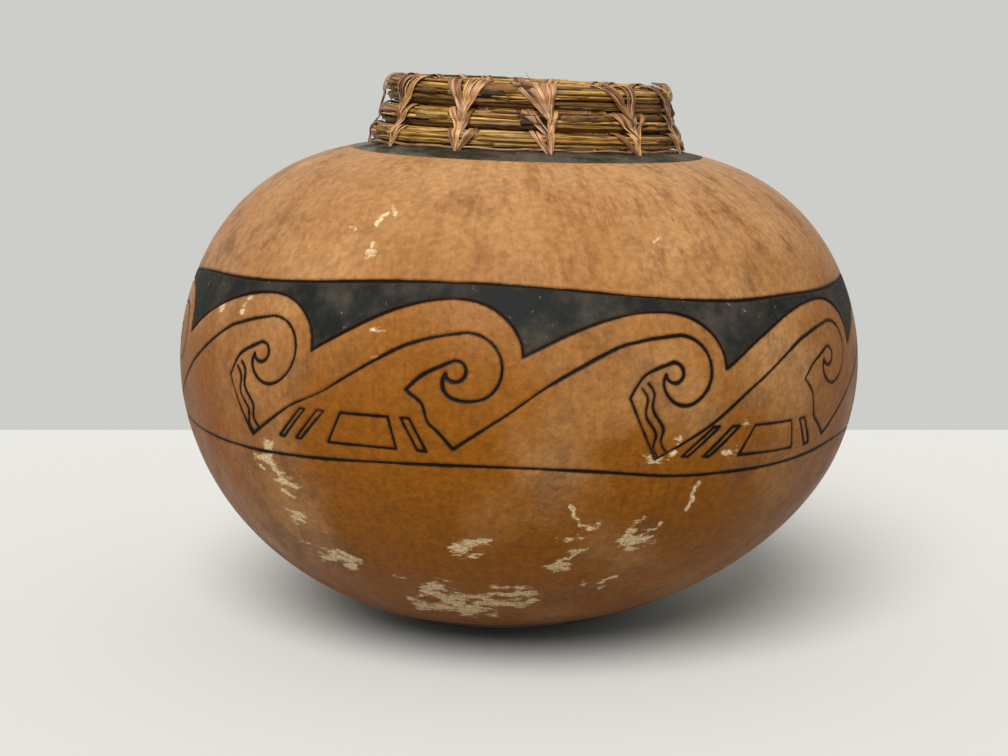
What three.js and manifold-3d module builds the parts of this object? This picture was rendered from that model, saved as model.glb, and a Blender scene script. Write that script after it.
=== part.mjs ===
// Gourd vase: a hollow dried gourd that stands on a small flat spot, with a rim of coiled pine needles
// sewn round its mouth with raffia.
// Millimetres, +Z up, front towards -Y. The origin is the middle of the flat spot.
// An azimuth is measured from the front towards the right, +X.
// A level is a height before the gourd's tilt.

import * as THREE from 'three';
import { ParametricGeometry } from 'three/addons/geometries/ParametricGeometry.js';
import { mergeVertices } from 'three/addons/utils/BufferGeometryUtils.js';
import Module from 'manifold-3d';

const wasm = await Module();
wasm.setup();

// Gourd: two half superellipses that meet at the widest level
const BODY_RADIUS = 115;
const WIDEST_LEVEL = 89.5;
const CROWN = { height: 73.8, radiusPower: 3.68, heightPower: 1.88 };
const BASE = { height: 91.5, radiusPower: 1.92, heightPower: 2.06 };
const WALL = 6;
const MOUTH_RADIUS = 48;
const GOURD_SIDES = 52;
const OUTER_STEPS = 11;
const INNER_STEPS = 7;

// How the gourd grew: its axis leans to the right, its levels dip to the right and the front,
// and it isn't quite round
const LEAN = 0.0753;
const LEAN_EASE = 0.00012;
const SIDE_DIP = THREE.MathUtils.degToRad(1.9);
const SIDE_DIP_LEVEL = 60;
const FRONT_DIP = THREE.MathUtils.degToRad(3);
const OVALNESS = 0.012;
const THREE_SIDEDNESS = 0.008;

// Needle coil: one bundle wound in three rows, which climbs from row to row on the right
const ROWS = [
  { thickness: 4.6, outerRadius: 52.8 },
  { thickness: 5.4, outerRadius: 49.7 },
  { thickness: 8.2, outerRadius: 48.4 },
];
const SEAT_GAP = 0.35;
const ROW_GAP = 1.5;
const RIM_FRONT_FALL = 0.055;
const RIM_SIDE_FALL = 0.033;
const TURN = 2 * Math.PI;
const CLIMB_END = THREE.MathUtils.degToRad(103);
const CLIMB = THREE.MathUtils.degToRad(25);
const TIP_THICKNESS = 1.4;
const NEEDLE_RIDGES = 8;
const RIDGE_DEPTH = 0.15;
const RIDGE_TWIST = 0.35;
const COIL_STEPS_PER_TURN = 44;

// Raffia: a pair of loops for each stitch, the left one slanted more, and a running strand under each row
const STITCH_AZIMUTHS = [-88, -56, -25, 7, 41, 70, 117, 147, 177, 208, 240].map(THREE.MathUtils.degToRad);
const STITCH_SPREADS = [[-6, 3], [-6.5, 3], [-8.5, 4]];
const STITCH_TIP_SPREAD = 0.5;
const STRAP_THICKNESS = 0.8;
const STRAP_WIDTH = 2.6;
const STRAP_TIP_WIDTH = 0.9;
const STRAP_GAP = 0.38;
const STRAP_GAP_AT_LIP = 1.2;
const LOOP_SIDES = 8;
const STRAND_SIZE = 0.4;
const STRAND_TAIL = THREE.MathUtils.degToRad(8.5);
const STRAND_STEPS_PER_TURN = 36;
const HOLE_RADIUS = 1.45;
const HOLE_SIDES = 8;

// Joins and cuts: a join's slivers thinner than this are closed up
const SLIVER = 0.05;

function solidFrom(geometry) {
  const bare = geometry.clone();
  bare.deleteAttribute('normal');
  bare.deleteAttribute('uv');
  const merged = mergeVertices(bare, 1e-3);
  const vertProperties = new Float32Array(merged.getAttribute('position').array);
  const triVerts = new Uint32Array(merged.index.array);
  return new wasm.Manifold(new wasm.Mesh({ numProp: 3, vertProperties, triVerts }));
}

function geometryFrom(solid) {
  const mesh = solid.getMesh();
  const geometry = new THREE.BufferGeometry();
  geometry.setAttribute('position', new THREE.BufferAttribute(mesh.vertProperties, 3));
  geometry.setIndex(new THREE.BufferAttribute(mesh.triVerts, 1));
  geometry.computeVertexNormals();
  return geometry;
}

function fuse(geometries) {
  const joined = geometries.map(solidFrom).reduce((whole, piece) => whole.add(piece));
  return geometryFrom(joined.asOriginal().simplify(SLIVER));
}

// Gourd

// A point on one half of the wall, from the widest level at turn 0 to the pole at a quarter turn.
function wallPoint(half, sign, inset, turn) {
  const radius = (BODY_RADIUS - inset) * Math.cos(turn) ** (2 / half.radiusPower);
  const height = (half.height - inset) * Math.sin(turn) ** (2 / half.heightPower);
  return new THREE.Vector2(radius, WIDEST_LEVEL + sign * height);
}

function turnAtRadius(half, inset, radius) {
  return Math.acos((radius / (BODY_RADIUS - inset)) ** (half.radiusPower / 2));
}

function turnAtHeight(half, inset, height) {
  return Math.asin((height / (half.height - inset)) ** (half.heightPower / 2));
}

function wallStretch(half, sign, inset, from, to, steps) {
  const turnAt = (i) => from + ((to - from) * i) / steps;
  return Array.from({ length: steps + 1 }, (_, i) => wallPoint(half, sign, inset, turnAt(i)));
}

const MOUTH_LEVEL = wallPoint(CROWN, 1, 0, turnAtRadius(CROWN, 0, MOUTH_RADIUS)).y;

// The closed half section: from the middle of the flat spot up the outside, over the lip and down the inside.
function gourdProfile() {
  const flatTurn = turnAtHeight(BASE, 0, WIDEST_LEVEL);
  const outerLip = turnAtRadius(CROWN, 0, MOUTH_RADIUS);
  const innerLip = turnAtRadius(CROWN, WALL, MOUTH_RADIUS);
  const innerFloor = WIDEST_LEVEL - (BASE.height - WALL);
  return [
    new THREE.Vector2(0, 0),
    ...wallStretch(BASE, -1, 0, flatTurn, 0, OUTER_STEPS),
    ...wallStretch(CROWN, 1, 0, 0, outerLip, OUTER_STEPS).slice(1),
    ...wallStretch(CROWN, 1, WALL, innerLip, 0, INNER_STEPS),
    ...wallStretch(BASE, -1, WALL, 0, Math.PI / 2, INNER_STEPS).slice(1, -1),
    new THREE.Vector2(0, innerFloor),
  ];
}

function leanAt(level) {
  return LEAN * level - LEAN_EASE * level * level;
}

// Moves a point of the round gourd to where it grew.
function settle(point) {
  const { x, y, z: level } = point;
  const azimuth = Math.atan2(x, -y);
  const share = Math.hypot(x, y) / BODY_RADIUS;
  const oval = OVALNESS * Math.sin(2 * azimuth) + THREE_SIDEDNESS * Math.cos(3 * azimuth);
  const swell = 1 + oval * share * share;
  const sideDip = Math.tan(SIDE_DIP) * THREE.MathUtils.clamp(level / SIDE_DIP_LEVEL, 0, 1);
  const frontDip = Math.tan(FRONT_DIP) * THREE.MathUtils.smoothstep(level, WIDEST_LEVEL, MOUTH_LEVEL);
  return point.set(x * swell + leanAt(level), y * swell, level - x * sideDip + y * frontDip);
}

function gourdGeometry(holes) {
  const geometry = new THREE.LatheGeometry(gourdProfile(), GOURD_SIDES).rotateX(Math.PI / 2);
  const position = geometry.getAttribute('position');
  const point = new THREE.Vector3();
  for (let i = 0; i < position.count; i++) {
    settle(point.fromBufferAttribute(position, i));
    position.setXYZ(i, point.x, point.y, point.z);
  }
  const drilled = holes.reduce((wall, hole) => wall.subtract(solidFrom(hole)), solidFrom(geometry));
  return geometryFrom(drilled);
}

// Rim frame: its floor is the plane of the gourd's lip.
// rho is the distance from its axis and w the height above its floor.

// The rows are a little lower at the front and on the right than at the back and on the left.
function rimPoint(rho, azimuth, w, target = new THREE.Vector3()) {
  const fall = RIM_FRONT_FALL * Math.cos(azimuth) + RIM_SIDE_FALL * Math.sin(azimuth);
  const height = w > 0 ? w * (1 - fall) : w;
  return target.set(rho * Math.sin(azimuth), -rho * Math.cos(azimuth), height);
}

// Needle coil

// Height of the coil's underside and its outer radius at an angle counted on from the start of the first row.
function coilStep(angle) {
  const row = Math.floor(angle / TURN);
  const last = ROWS.length - 1;
  const rise = THREE.MathUtils.smoothstep(angle - row * TURN, TURN - CLIMB, TURN);
  const pile = (sum, { thickness }) => sum + thickness + ROW_GAP;
  const underside = (n) => ROWS.slice(0, n).reduce(pile, SEAT_GAP);
  const outer = (n) => ROWS[THREE.MathUtils.clamp(n, 0, last)].outerRadius;
  return {
    underside: THREE.MathUtils.lerp(underside(Math.max(row, 0)), underside(Math.max(row + 1, 0)), rise),
    outerRadius: THREE.MathUtils.lerp(outer(row), outer(row + 1), rise),
  };
}

// The bundle's section: it fills the room up to the next turn, so it tapers off where that closes.
function coilSection(angle) {
  const { underside, outerRadius } = coilStep(angle);
  const top = coilStep(Math.min(angle + TURN, ROWS.length * TURN)).underside - ROW_GAP;
  const radius = (top - underside) / 2;
  return { rho: outerRadius - radius, w: underside + radius, radius };
}

// The angle inside a climb where the bundle has thinned to its tip.
function tipAngle(from, to) {
  const steps = 200;
  const angles = Array.from({ length: steps }, (_, i) => from + ((to - from) * i) / steps);
  return angles.findLast((angle) => coilSection(angle).radius > TIP_THICKNESS / 2);
}

function coilGeometry() {
  const start = tipAngle(0, -CLIMB);
  const end = tipAngle(ROWS.length * TURN - CLIMB, ROWS.length * TURN);
  const steps = Math.round(((end - start) / TURN) * COIL_STEPS_PER_TURN);
  const corners = 2 * NEEDLE_RIDGES;
  return new ParametricGeometry((u, v, target) => {
    const angle = start + (end - start) * v;
    const { rho, w, radius } = coilSection(angle);
    const corner = Math.round(u * corners) % corners;
    const turn = angle * RIDGE_TWIST - (corner / corners) * TURN;
    const closed = v === 0 || v === 1;
    const reach = closed ? 0 : radius * (1 - (corner % 2) * RIDGE_DEPTH);
    rimPoint(rho + reach * Math.cos(turn), CLIMB_END + angle, w + reach * Math.sin(turn), target);
  }, corners, steps);
}

// Raffia

// Moves each corner of a closed outline along its mitre.
function offsetOutline(outline, distance) {
  const count = outline.length;
  const normals = outline.map((point, i) => {
    const along = outline[(i + 1) % count].clone().sub(point).normalize();
    return new THREE.Vector2(along.y, -along.x);
  });
  return outline.map((point, i) => {
    const before = normals[(i + count - 1) % count];
    const mitre = before.clone().add(normals[i]).divideScalar(1 + before.dot(normals[i]));
    return point.clone().addScaledVector(mitre, distance);
  });
}

// The middle line of a loop round one row's bundle, in rho and w.
function rowLoop(section) {
  const reach = (section.radius + STRAP_GAP + STRAP_THICKNESS / 2) / Math.cos(Math.PI / LOOP_SIDES);
  return Array.from({ length: LOOP_SIDES }, (_, i) => {
    const turn = ((i + 0.5) / LOOP_SIDES) * TURN;
    return new THREE.Vector2(section.rho + reach * Math.cos(turn), section.w + reach * Math.sin(turn));
  });
}

// The lowest row's loops also go down through the gourd's hole and back up round its lip.
function lipLoop(section) {
  const clear = STRAP_GAP_AT_LIP + STRAP_THICKNESS / 2;
  const { wallUnderHole, wallUnderLip } = wallUndersides();
  const over = rowLoop(section).filter((point) => point.y > section.w);
  return [
    ...over,
    new THREE.Vector2(MOUTH_RADIUS - clear, 0),
    new THREE.Vector2(MOUTH_RADIUS - clear, wallUnderLip - clear),
    new THREE.Vector2(HOLE_RHO, wallUnderHole - clear),
    new THREE.Vector2(HOLE_RHO, shoulderHeight(HOLE_RHO)),
  ];
}

function shoulderHeight(rho) {
  return wallPoint(CROWN, 1, 0, turnAtRadius(CROWN, 0, rho)).y - MOUTH_LEVEL;
}

function wallUndersides() {
  const under = (rho) => wallPoint(CROWN, 1, WALL, turnAtRadius(CROWN, WALL, rho)).y - MOUTH_LEVEL;
  return { wallUnderHole: under(HOLE_RHO), wallUnderLip: under(MOUTH_RADIUS) };
}

const ROW_SECTIONS = ROWS.map((_, row) => coilSection(row * TURN + Math.PI));
const HOLE_RHO = ROWS[0].outerRadius + STRAP_GAP + STRAP_THICKNESS / 2;

// One arm of a stitch: a flat strap that follows the loop and slants from the stitch's tip to one side.
function strapGeometry(outline, azimuth, spread, tipHeight) {
  const inner = offsetOutline(outline, -STRAP_THICKNESS / 2);
  const outer = offsetOutline(outline, STRAP_THICKNESS / 2);
  const topHeight = Math.max(...outline.map((point) => point.y));
  const count = outline.length;
  const corners = [[inner, -1], [outer, -1], [outer, 1], [inner, 1]];
  return new ParametricGeometry((u, v, target) => {
    const i = Math.round(v * count) % count;
    const [side, edge] = corners[Math.round(u * corners.length) % corners.length];
    const share = THREE.MathUtils.clamp((outline[i].y - tipHeight) / (topHeight - tipHeight), 0, 1);
    const slant = Math.sign(spread) * THREE.MathUtils.lerp(STITCH_TIP_SPREAD, Math.abs(spread), share);
    const halfWidth = THREE.MathUtils.lerp(STRAP_TIP_WIDTH, STRAP_WIDTH, share) / 2;
    const offset = (slant + edge * halfWidth) / outline[i].x;
    rimPoint(side[i].x, azimuth + offset, side[i].y, target);
  }, corners.length, count);
}

function stitchGeometries(azimuth) {
  return ROW_SECTIONS.flatMap((section, row) => {
    const outline = row === 0 ? lipLoop(section) : rowLoop(section);
    const tipHeight = row === 0 ? shoulderHeight(HOLE_RHO) : Math.min(...outline.map((point) => point.y));
    return STITCH_SPREADS[row].map((spread) => strapGeometry(outline, azimuth, spread, tipHeight));
  });
}

// A strand that runs round the rim: closed over a whole turn, or else with pointed ends.
function strandGeometry(rho, w, from, to) {
  const whole = to - from >= TURN;
  const steps = Math.round(((to - from) / TURN) * STRAND_STEPS_PER_TURN);
  const corners = 4;
  return new ParametricGeometry((u, v, target) => {
    const turn = -(Math.round(u * corners) % corners) * (TURN / corners);
    const size = !whole && (v === 0 || v === 1) ? 0 : STRAND_SIZE;
    const azimuth = from + (to - from) * (whole ? v % 1 : v);
    rimPoint(rho + size * Math.cos(turn), azimuth, w + size * Math.sin(turn), target);
  }, corners, steps);
}

// The strand between two rows lies midway between their bundles, and stops on each side of the climb.
function strandBetween(lower, upper) {
  const lowerTop = lower.w + lower.radius;
  const last = STITCH_AZIMUTHS.findIndex((azimuth) => azimuth > CLIMB_END);
  const from = STITCH_AZIMUTHS[last] - TURN - STRAND_TAIL;
  const to = STITCH_AZIMUTHS[last - 1] + STRAND_TAIL;
  return strandGeometry((lower.rho + upper.rho) / 2, lowerTop + ROW_GAP / 2, from, to);
}

function raffiaGeometry() {
  const footHeight = shoulderHeight(HOLE_RHO) + STRAP_GAP + STRAND_SIZE;
  const strands = [
    strandGeometry(HOLE_RHO, footHeight, 0, TURN),
    ...ROW_SECTIONS.slice(1).map((upper, row) => strandBetween(ROW_SECTIONS[row], upper)),
  ];
  return fuse([...strands, ...STITCH_AZIMUTHS.flatMap(stitchGeometries)]);
}

// A drill for one of the holes that the lowest stitches go through, in the rim's frame.
function drillGeometry(azimuth) {
  const drill = new THREE.CylinderGeometry(HOLE_RADIUS, HOLE_RADIUS, 4 * WALL, HOLE_SIDES);
  drill.rotateX(Math.PI / 2);
  const { x, y } = rimPoint(HOLE_RHO, azimuth, 0);
  return drill.translate(x, y, -WALL / 2);
}

// Assembly

function finish(color, roughness) {
  return new THREE.MeshStandardMaterial({ color, roughness, metalness: 0 });
}

function piece(name, geometry, material) {
  const mesh = new THREE.Mesh(geometry, material);
  mesh.name = name;
  return mesh;
}

const rim = new THREE.Group();
rim.position.set(leanAt(MOUTH_LEVEL), 0, MOUTH_LEVEL);
rim.rotation.set(FRONT_DIP, SIDE_DIP, 0);
rim.updateMatrix();
rim.add(piece('needle_coil', coilGeometry(), finish(0x8f7138, 0.6)));
rim.add(piece('raffia_lashing', raffiaGeometry(), finish(0xb98a5c, 0.7)));

const holes = STITCH_AZIMUTHS.map((azimuth) => drillGeometry(azimuth).applyMatrix4(rim.matrix));

const vase = new THREE.Group();
vase.add(piece('gourd_shell', gourdGeometry(holes), finish(0xb07a45, 0.5)));
vase.add(rim);

export default vase;
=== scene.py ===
"""Gourd vase: an engraved dried gourd with a rim of coiled pine needles sewn on with raffia.

Sizes are millimetres, and azimuths are degrees from the front (-Y) towards the right (+X), until they
reach a mesh. The rim has its own frame: rho is the distance from its axis, and w is the height above the
gourd's cut lip.
"""

import logging
import math
import random
from collections.abc import Iterator
from contextlib import contextmanager
from dataclasses import dataclass, field
from enum import Enum
from functools import partial

import bpy
import numpy as np
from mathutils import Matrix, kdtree


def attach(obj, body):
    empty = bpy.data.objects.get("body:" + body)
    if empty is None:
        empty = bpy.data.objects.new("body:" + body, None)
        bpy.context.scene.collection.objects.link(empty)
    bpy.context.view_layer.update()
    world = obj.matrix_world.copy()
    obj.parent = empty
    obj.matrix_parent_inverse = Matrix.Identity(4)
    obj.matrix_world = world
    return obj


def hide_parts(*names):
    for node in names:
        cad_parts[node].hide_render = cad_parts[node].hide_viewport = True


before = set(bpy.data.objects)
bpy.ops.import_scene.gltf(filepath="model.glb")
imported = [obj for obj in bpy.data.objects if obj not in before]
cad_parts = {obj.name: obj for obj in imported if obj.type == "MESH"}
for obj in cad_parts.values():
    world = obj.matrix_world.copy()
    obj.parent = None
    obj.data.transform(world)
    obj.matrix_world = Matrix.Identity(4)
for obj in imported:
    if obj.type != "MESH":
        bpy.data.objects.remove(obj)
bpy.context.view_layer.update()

LOG = logging.getLogger("gourd_vase")
MM = 0.001
TURN = 2.0 * math.pi
TINY = 1e-6

Array = np.ndarray
Pair = tuple[float, float]
Points = list[Pair]
Socket = bpy.types.NodeSocket
SPAN = ("Value", "From Min", "From Max", "To Min", "To Max")


class Slot(Enum):
    """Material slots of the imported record."""

    GOURD = "gourd"
    NEEDLES = "pine_needles"
    RAFFIA = "raffia"


# Helpers


def linear(code: str) -> tuple[float, float, float, float]:
    """Turn an sRGB hex colour to linear.

    Args:
        code: Six hex digits, with or without a leading hash.

    Returns:
        Red, green, blue and an alpha of 1.
    """
    parts = [int(code.lstrip("#")[i : i + 2], 16) / 255 for i in (0, 2, 4)]
    red, green, blue = (p / 12.92 if p <= 0.04045 else ((p + 0.055) / 1.055) ** 2.4 for p in parts)
    return red, green, blue, 1.0


def per_metre(size_mm: float) -> float:
    """Texture scale that gives features of about this size."""
    return 1000.0 / size_mm


def smoothstep(values: Array, low: float, high: float) -> Array:
    """Ease values from 0 at low to 1 at high."""
    share = np.clip((values - low) / (high - low), 0.0, 1.0)
    return share * share * (3.0 - 2.0 * share)


def fill(tree: bpy.types.NodeTree, node: bpy.types.Node, inputs: dict[str | int, object]) -> None:
    """Set a node's inputs.

    Args:
        tree: Material's node tree.
        node: The node.
        inputs: Input name or number to a value, or to an output socket to link.
    """
    for name, value in inputs.items():
        if isinstance(value, Socket):
            tree.links.new(value, node.inputs[name])
        else:
            node.inputs[name].default_value = value


def add_node(
    tree: bpy.types.NodeTree, kind: str, inputs: dict[str | int, object] | None = None, **settings: object
) -> bpy.types.Node:
    """Add a shader node with its settings and links.

    Args:
        tree: Material's node tree.
        kind: Node type.
        inputs: Input name or number to a value, or to an output socket to link.
        **settings: Properties of the node.

    Returns:
        The new node.
    """
    node = tree.nodes.new(kind)
    for name, value in settings.items():
        setattr(node, name, value)
    fill(tree, node, inputs or {})
    return node


def new_material(name: str) -> tuple[bpy.types.Material, bpy.types.NodeTree, bpy.types.Node]:
    """Make an empty material with a Principled shader.

    Args:
        name: The finish's name.

    Returns:
        The material, its node tree and its Principled node.
    """
    material = bpy.data.materials.new(name)
    material.use_nodes = True
    tree = material.node_tree
    tree.nodes.clear()
    shader = add_node(tree, "ShaderNodeBsdfPrincipled")
    add_node(tree, "ShaderNodeOutputMaterial", {"Surface": shader.outputs[0]})
    return material, tree, shader


def deselect_all() -> None:
    """Leave nothing selected, in object mode."""
    if bpy.context.mode != "OBJECT":
        bpy.ops.object.mode_set(mode="OBJECT")
    bpy.ops.object.select_all(action="DESELECT")


def make_active(obj: bpy.types.Object) -> None:
    """Select one object and make it the active one.

    Args:
        obj: The object.
    """
    deselect_all()
    obj.select_set(True)
    bpy.context.view_layer.objects.active = obj


@contextmanager
def editing(obj: bpy.types.Object) -> Iterator[None]:
    """Edit an object's mesh, and go back to object mode afterwards.

    Args:
        obj: The object.

    Yields:
        Nothing, while in edit mode.
    """
    make_active(obj)
    bpy.ops.object.mode_set(mode="EDIT")
    yield
    bpy.ops.object.mode_set(mode="OBJECT")


def face_outwards(obj: bpy.types.Object) -> None:
    """Turn the faces of each closed part of an object outwards.

    Args:
        obj: The object.
    """
    with editing(obj):
        bpy.ops.mesh.select_all(action="SELECT")
        bpy.ops.mesh.normals_make_consistent(inside=False)


def corners_of(obj: bpy.types.Object) -> Array:
    """Read the places of an object's vertices.

    Args:
        obj: The object.

    Returns:
        Rows of x, y and z.
    """
    flat = np.empty(len(obj.data.vertices) * 3)
    obj.data.vertices.foreach_get("co", flat)
    return flat.reshape(-1, 3)


def place_corners(obj: bpy.types.Object, places: Array) -> None:
    """Move an object's vertices to rows of x, y and z."""
    obj.data.vertices.foreach_set("co", np.ascontiguousarray(places, dtype=np.float32).ravel())
    obj.data.update()


def unrolled(needle: bpy.types.Object) -> tuple[Array, Array, Array]:
    """Read the vertices of a straight needle of unit length and radius, which lies along X.

    Args:
        needle: The needle.

    Returns:
        Shares along it, turns round its axis in radians, and whether each vertex lies off the axis.
    """
    along, across, up = corners_of(needle).T
    return along, np.arctan2(up, across), np.hypot(across, up) > 0.5


def store(obj: bpy.types.Object, name: str, values: Array) -> None:
    """Keep one number a vertex as a mesh attribute."""
    attribute = obj.data.attributes.new(name, "FLOAT", "POINT")
    attribute.data.foreach_set("value", np.ascontiguousarray(values, dtype=np.float32))


def copy_of(master: bpy.types.Object, name: str) -> bpy.types.Object:
    """Copy an object with a mesh of its own.

    Args:
        master: Object to copy.
        name: The copy's name.

    Returns:
        The copy.
    """
    copy = bpy.data.objects.new(name, master.data.copy())
    bpy.context.collection.objects.link(copy)
    return copy


def join_all(objects: list[bpy.types.Object], name: str) -> bpy.types.Object:
    """Join objects to one piece.

    Args:
        objects: Objects to join; the first one stays.
        name: The piece's name.

    Returns:
        The joined object.
    """
    make_active(objects[0])
    for obj in objects[1:]:
        obj.select_set(True)
    bpy.ops.object.join()
    joined = bpy.context.view_layer.objects.active
    joined.name = name
    joined.data.name = name
    return joined


def shade_smooth(obj: bpy.types.Object, angle: float = 60.0) -> None:
    """Smooth an object's shading up to an angle in degrees."""
    make_active(obj)
    bpy.ops.object.shade_smooth_by_angle(angle=math.radians(angle))


def run_along(points: Array) -> Array:
    """Distance of each point from the first one, along the line through them."""
    return np.concatenate([[0.0], np.cumsum(np.linalg.norm(np.diff(points, axis=0), axis=1))])


def index_of(places: Array) -> kdtree.KDTree:
    """Index places, to find the nearest one.

    Args:
        places: Rows of x, y and z.

    Returns:
        The index.
    """
    tree = kdtree.KDTree(len(places))
    for i, place in enumerate(places):
        tree.insert(place, i)
    tree.balance()
    return tree


def smooth_line(points: Points, step: float) -> Array:
    """Draw a smooth curve through points.

    Args:
        points: Corner points, in order.
        step: Largest distance between drawn points, in the points' units.

    Returns:
        The curve's points as rows.
    """
    knots = np.array(points, float)
    if len(knots) == 2:
        count = max(2, int(np.ceil(np.linalg.norm(knots[1] - knots[0]) / step)) + 1)
        return knots[0] + np.linspace(0, 1, count)[:, None] * (knots[1] - knots[0])
    padded = np.vstack([2 * knots[0] - knots[1], knots, 2 * knots[-1] - knots[-2]])
    spans = []
    for before, start, end, after in zip(padded, padded[1:], padded[2:], padded[3:]):
        count = max(2, int(np.ceil(np.linalg.norm(end - start) / step)) + 1)
        t = np.linspace(0, 1, count)[:-1, None]
        bend = 2 * before - 5 * start + 4 * end - after
        twist = 3 * start - before - 3 * end + after
        spans.append(start + 0.5 * t * (end - before) + 0.5 * t**2 * bend + 0.5 * t**3 * twist)
    return np.vstack([*spans, knots[-1:]])


# Gourd


@dataclass(frozen=True)
class HalfForm:
    """Upper or lower half of the gourd's outline, a superellipse from the widest level to the pole."""

    height: float
    radius_power: float
    height_power: float

    def radius(self, rise: Array, height: float, widest: float) -> Array:
        """Radius at a distance from the widest level, for a wall of that height and widest radius."""
        share = np.clip(rise / height, 0.0, 1.0)
        return widest * (1.0 - share**self.height_power) ** (1.0 / self.radius_power)

    def rise(self, radius: Array, height: float, widest: float) -> Array:
        """Distance from the widest level at a radius, for a wall of that height and widest radius."""
        share = np.clip(radius / widest, 0.0, 1.0)
        return height * (1.0 - share**self.radius_power) ** (1.0 / self.height_power)


@dataclass(frozen=True)
class GourdForm:
    """The gourd's shape, by the same formula as the solid's."""

    body_radius: float = 115.0
    widest_level: float = 89.5
    crown: HalfForm = HalfForm(73.8, 3.68, 1.88)
    base: HalfForm = HalfForm(91.5, 1.92, 2.06)
    wall: float = 6.0
    mouth_radius: float = 48.0
    lean: float = 0.0753
    lean_ease: float = 0.00012
    side_dip: float = math.radians(1.9)
    side_dip_level: float = 60.0
    front_dip: float = math.radians(3.0)
    ovalness: float = 0.012
    three_sidedness: float = 0.008
    outline_points: int = 400

    def crown_level(self, radius: float, inset: float = 0.0) -> float:
        """Level of the upper wall at a radius, outside or, with an inset, inside."""
        rise = self.crown.rise(np.array(radius), self.crown.height - inset, self.body_radius - inset)
        return self.widest_level + float(rise)

    def outer_radius(self, level: Array) -> Array:
        """Find the radius of the outside.

        Args:
            level: Levels.

        Returns:
            The radius at each level.
        """
        rise = np.asarray(level, float) - self.widest_level
        upper = self.crown.radius(np.maximum(rise, 0.0), self.crown.height, self.body_radius)
        lower = self.base.radius(np.maximum(-rise, 0.0), self.base.height, self.body_radius)
        return np.where(rise > 0, upper, lower)

    def lean_at(self, level: Array) -> Array:
        """How far the axis has leant to the right at a level."""
        return self.lean * level - self.lean_ease * level * level

    def settle(self, azimuth: Array, radius: Array, level: Array) -> Array:
        """Place points of the round gourd where it grew.

        Args:
            azimuth: Azimuths in radians.
            radius: Distances from the axis.
            level: Heights before the tilt.

        Returns:
            Rows of x, y and z in millimetres.
        """
        oval = self.ovalness * np.sin(2 * azimuth) + self.three_sidedness * np.cos(3 * azimuth)
        swell = 1.0 + oval * (radius / self.body_radius) ** 2
        x = radius * np.sin(azimuth)
        y = -radius * np.cos(azimuth)
        side = math.tan(self.side_dip) * np.clip(level / self.side_dip_level, 0.0, 1.0)
        mouth_level = self.crown_level(self.mouth_radius)
        front = math.tan(self.front_dip) * smoothstep(level, self.widest_level, mouth_level)
        return np.stack([x * swell + self.lean_at(level), y * swell, level - x * side + y * front], axis=-1)

    def outline(self) -> Array:
        """Half section of the shell from the middle of the flat spot to the inside floor.

        Returns:
            Rows of radius and level, close together.
        """
        turns = np.linspace(0.0, math.pi / 2, self.outline_points)

        def half(form: HalfForm, sign: float, inset: float) -> Array:
            """Draw one half of a wall from its widest level to its pole.

            Args:
                form: The half's form.
                sign: 1 for the upper half, -1 for the lower one.
                inset: Depth under the outside.

            Returns:
                Rows of radius and level.
            """
            radius = (self.body_radius - inset) * np.cos(turns) ** (2 / form.radius_power)
            rise = (form.height - inset) * np.sin(turns) ** (2 / form.height_power)
            return np.stack([radius, self.widest_level + sign * rise], axis=-1)

        base, crown = half(self.base, -1, 0.0)[::-1], half(self.crown, 1, 0.0)
        inner_crown, inner_base = half(self.crown, 1, self.wall)[::-1], half(self.base, -1, self.wall)
        base = base[base[:, 1] >= 0.0]
        crown = crown[crown[:, 0] >= self.mouth_radius]
        inner_crown = inner_crown[inner_crown[:, 0] >= self.mouth_radius]
        lip = [
            [self.mouth_radius, self.crown_level(self.mouth_radius)],
            [self.mouth_radius, self.crown_level(self.mouth_radius, self.wall)],
        ]
        return np.vstack([[[0.0, 0.0]], base, crown[1:], lip, inner_crown, inner_base[1:]])


@dataclass(frozen=True)
class Slip:
    """A slip of the engraver's hand: its azimuth, its spread in degrees and its height."""

    azimuth: float
    spread: float
    height: float


@dataclass(frozen=True)
class BandLine:
    """A line drawn by hand round the gourd: its level, its swings and its slips.

    It swings once a turn, to the front and to the side, and four times a turn from an azimuth in degrees.
    """

    level: float
    front_swing: float
    side_swing: float
    four_swings: float
    four_start: float
    slips: tuple[Slip, ...]

    def at(self, azimuth: Array) -> Array:
        """Find the line's level.

        Args:
            azimuth: Azimuths in degrees.

        Returns:
            The level at each azimuth.
        """
        turn = np.radians(azimuth)
        four = self.four_swings * np.cos(np.radians(4 * (azimuth + self.four_start)))
        level = self.level + (self.front_swing * np.cos(turn) + self.side_swing * np.sin(turn) + four)
        for slip in self.slips:
            apart = (azimuth - slip.azimuth + 180) % 360 - 180
            level = level + slip.height * np.exp(-((apart / slip.spread) ** 2))
        return level


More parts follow.
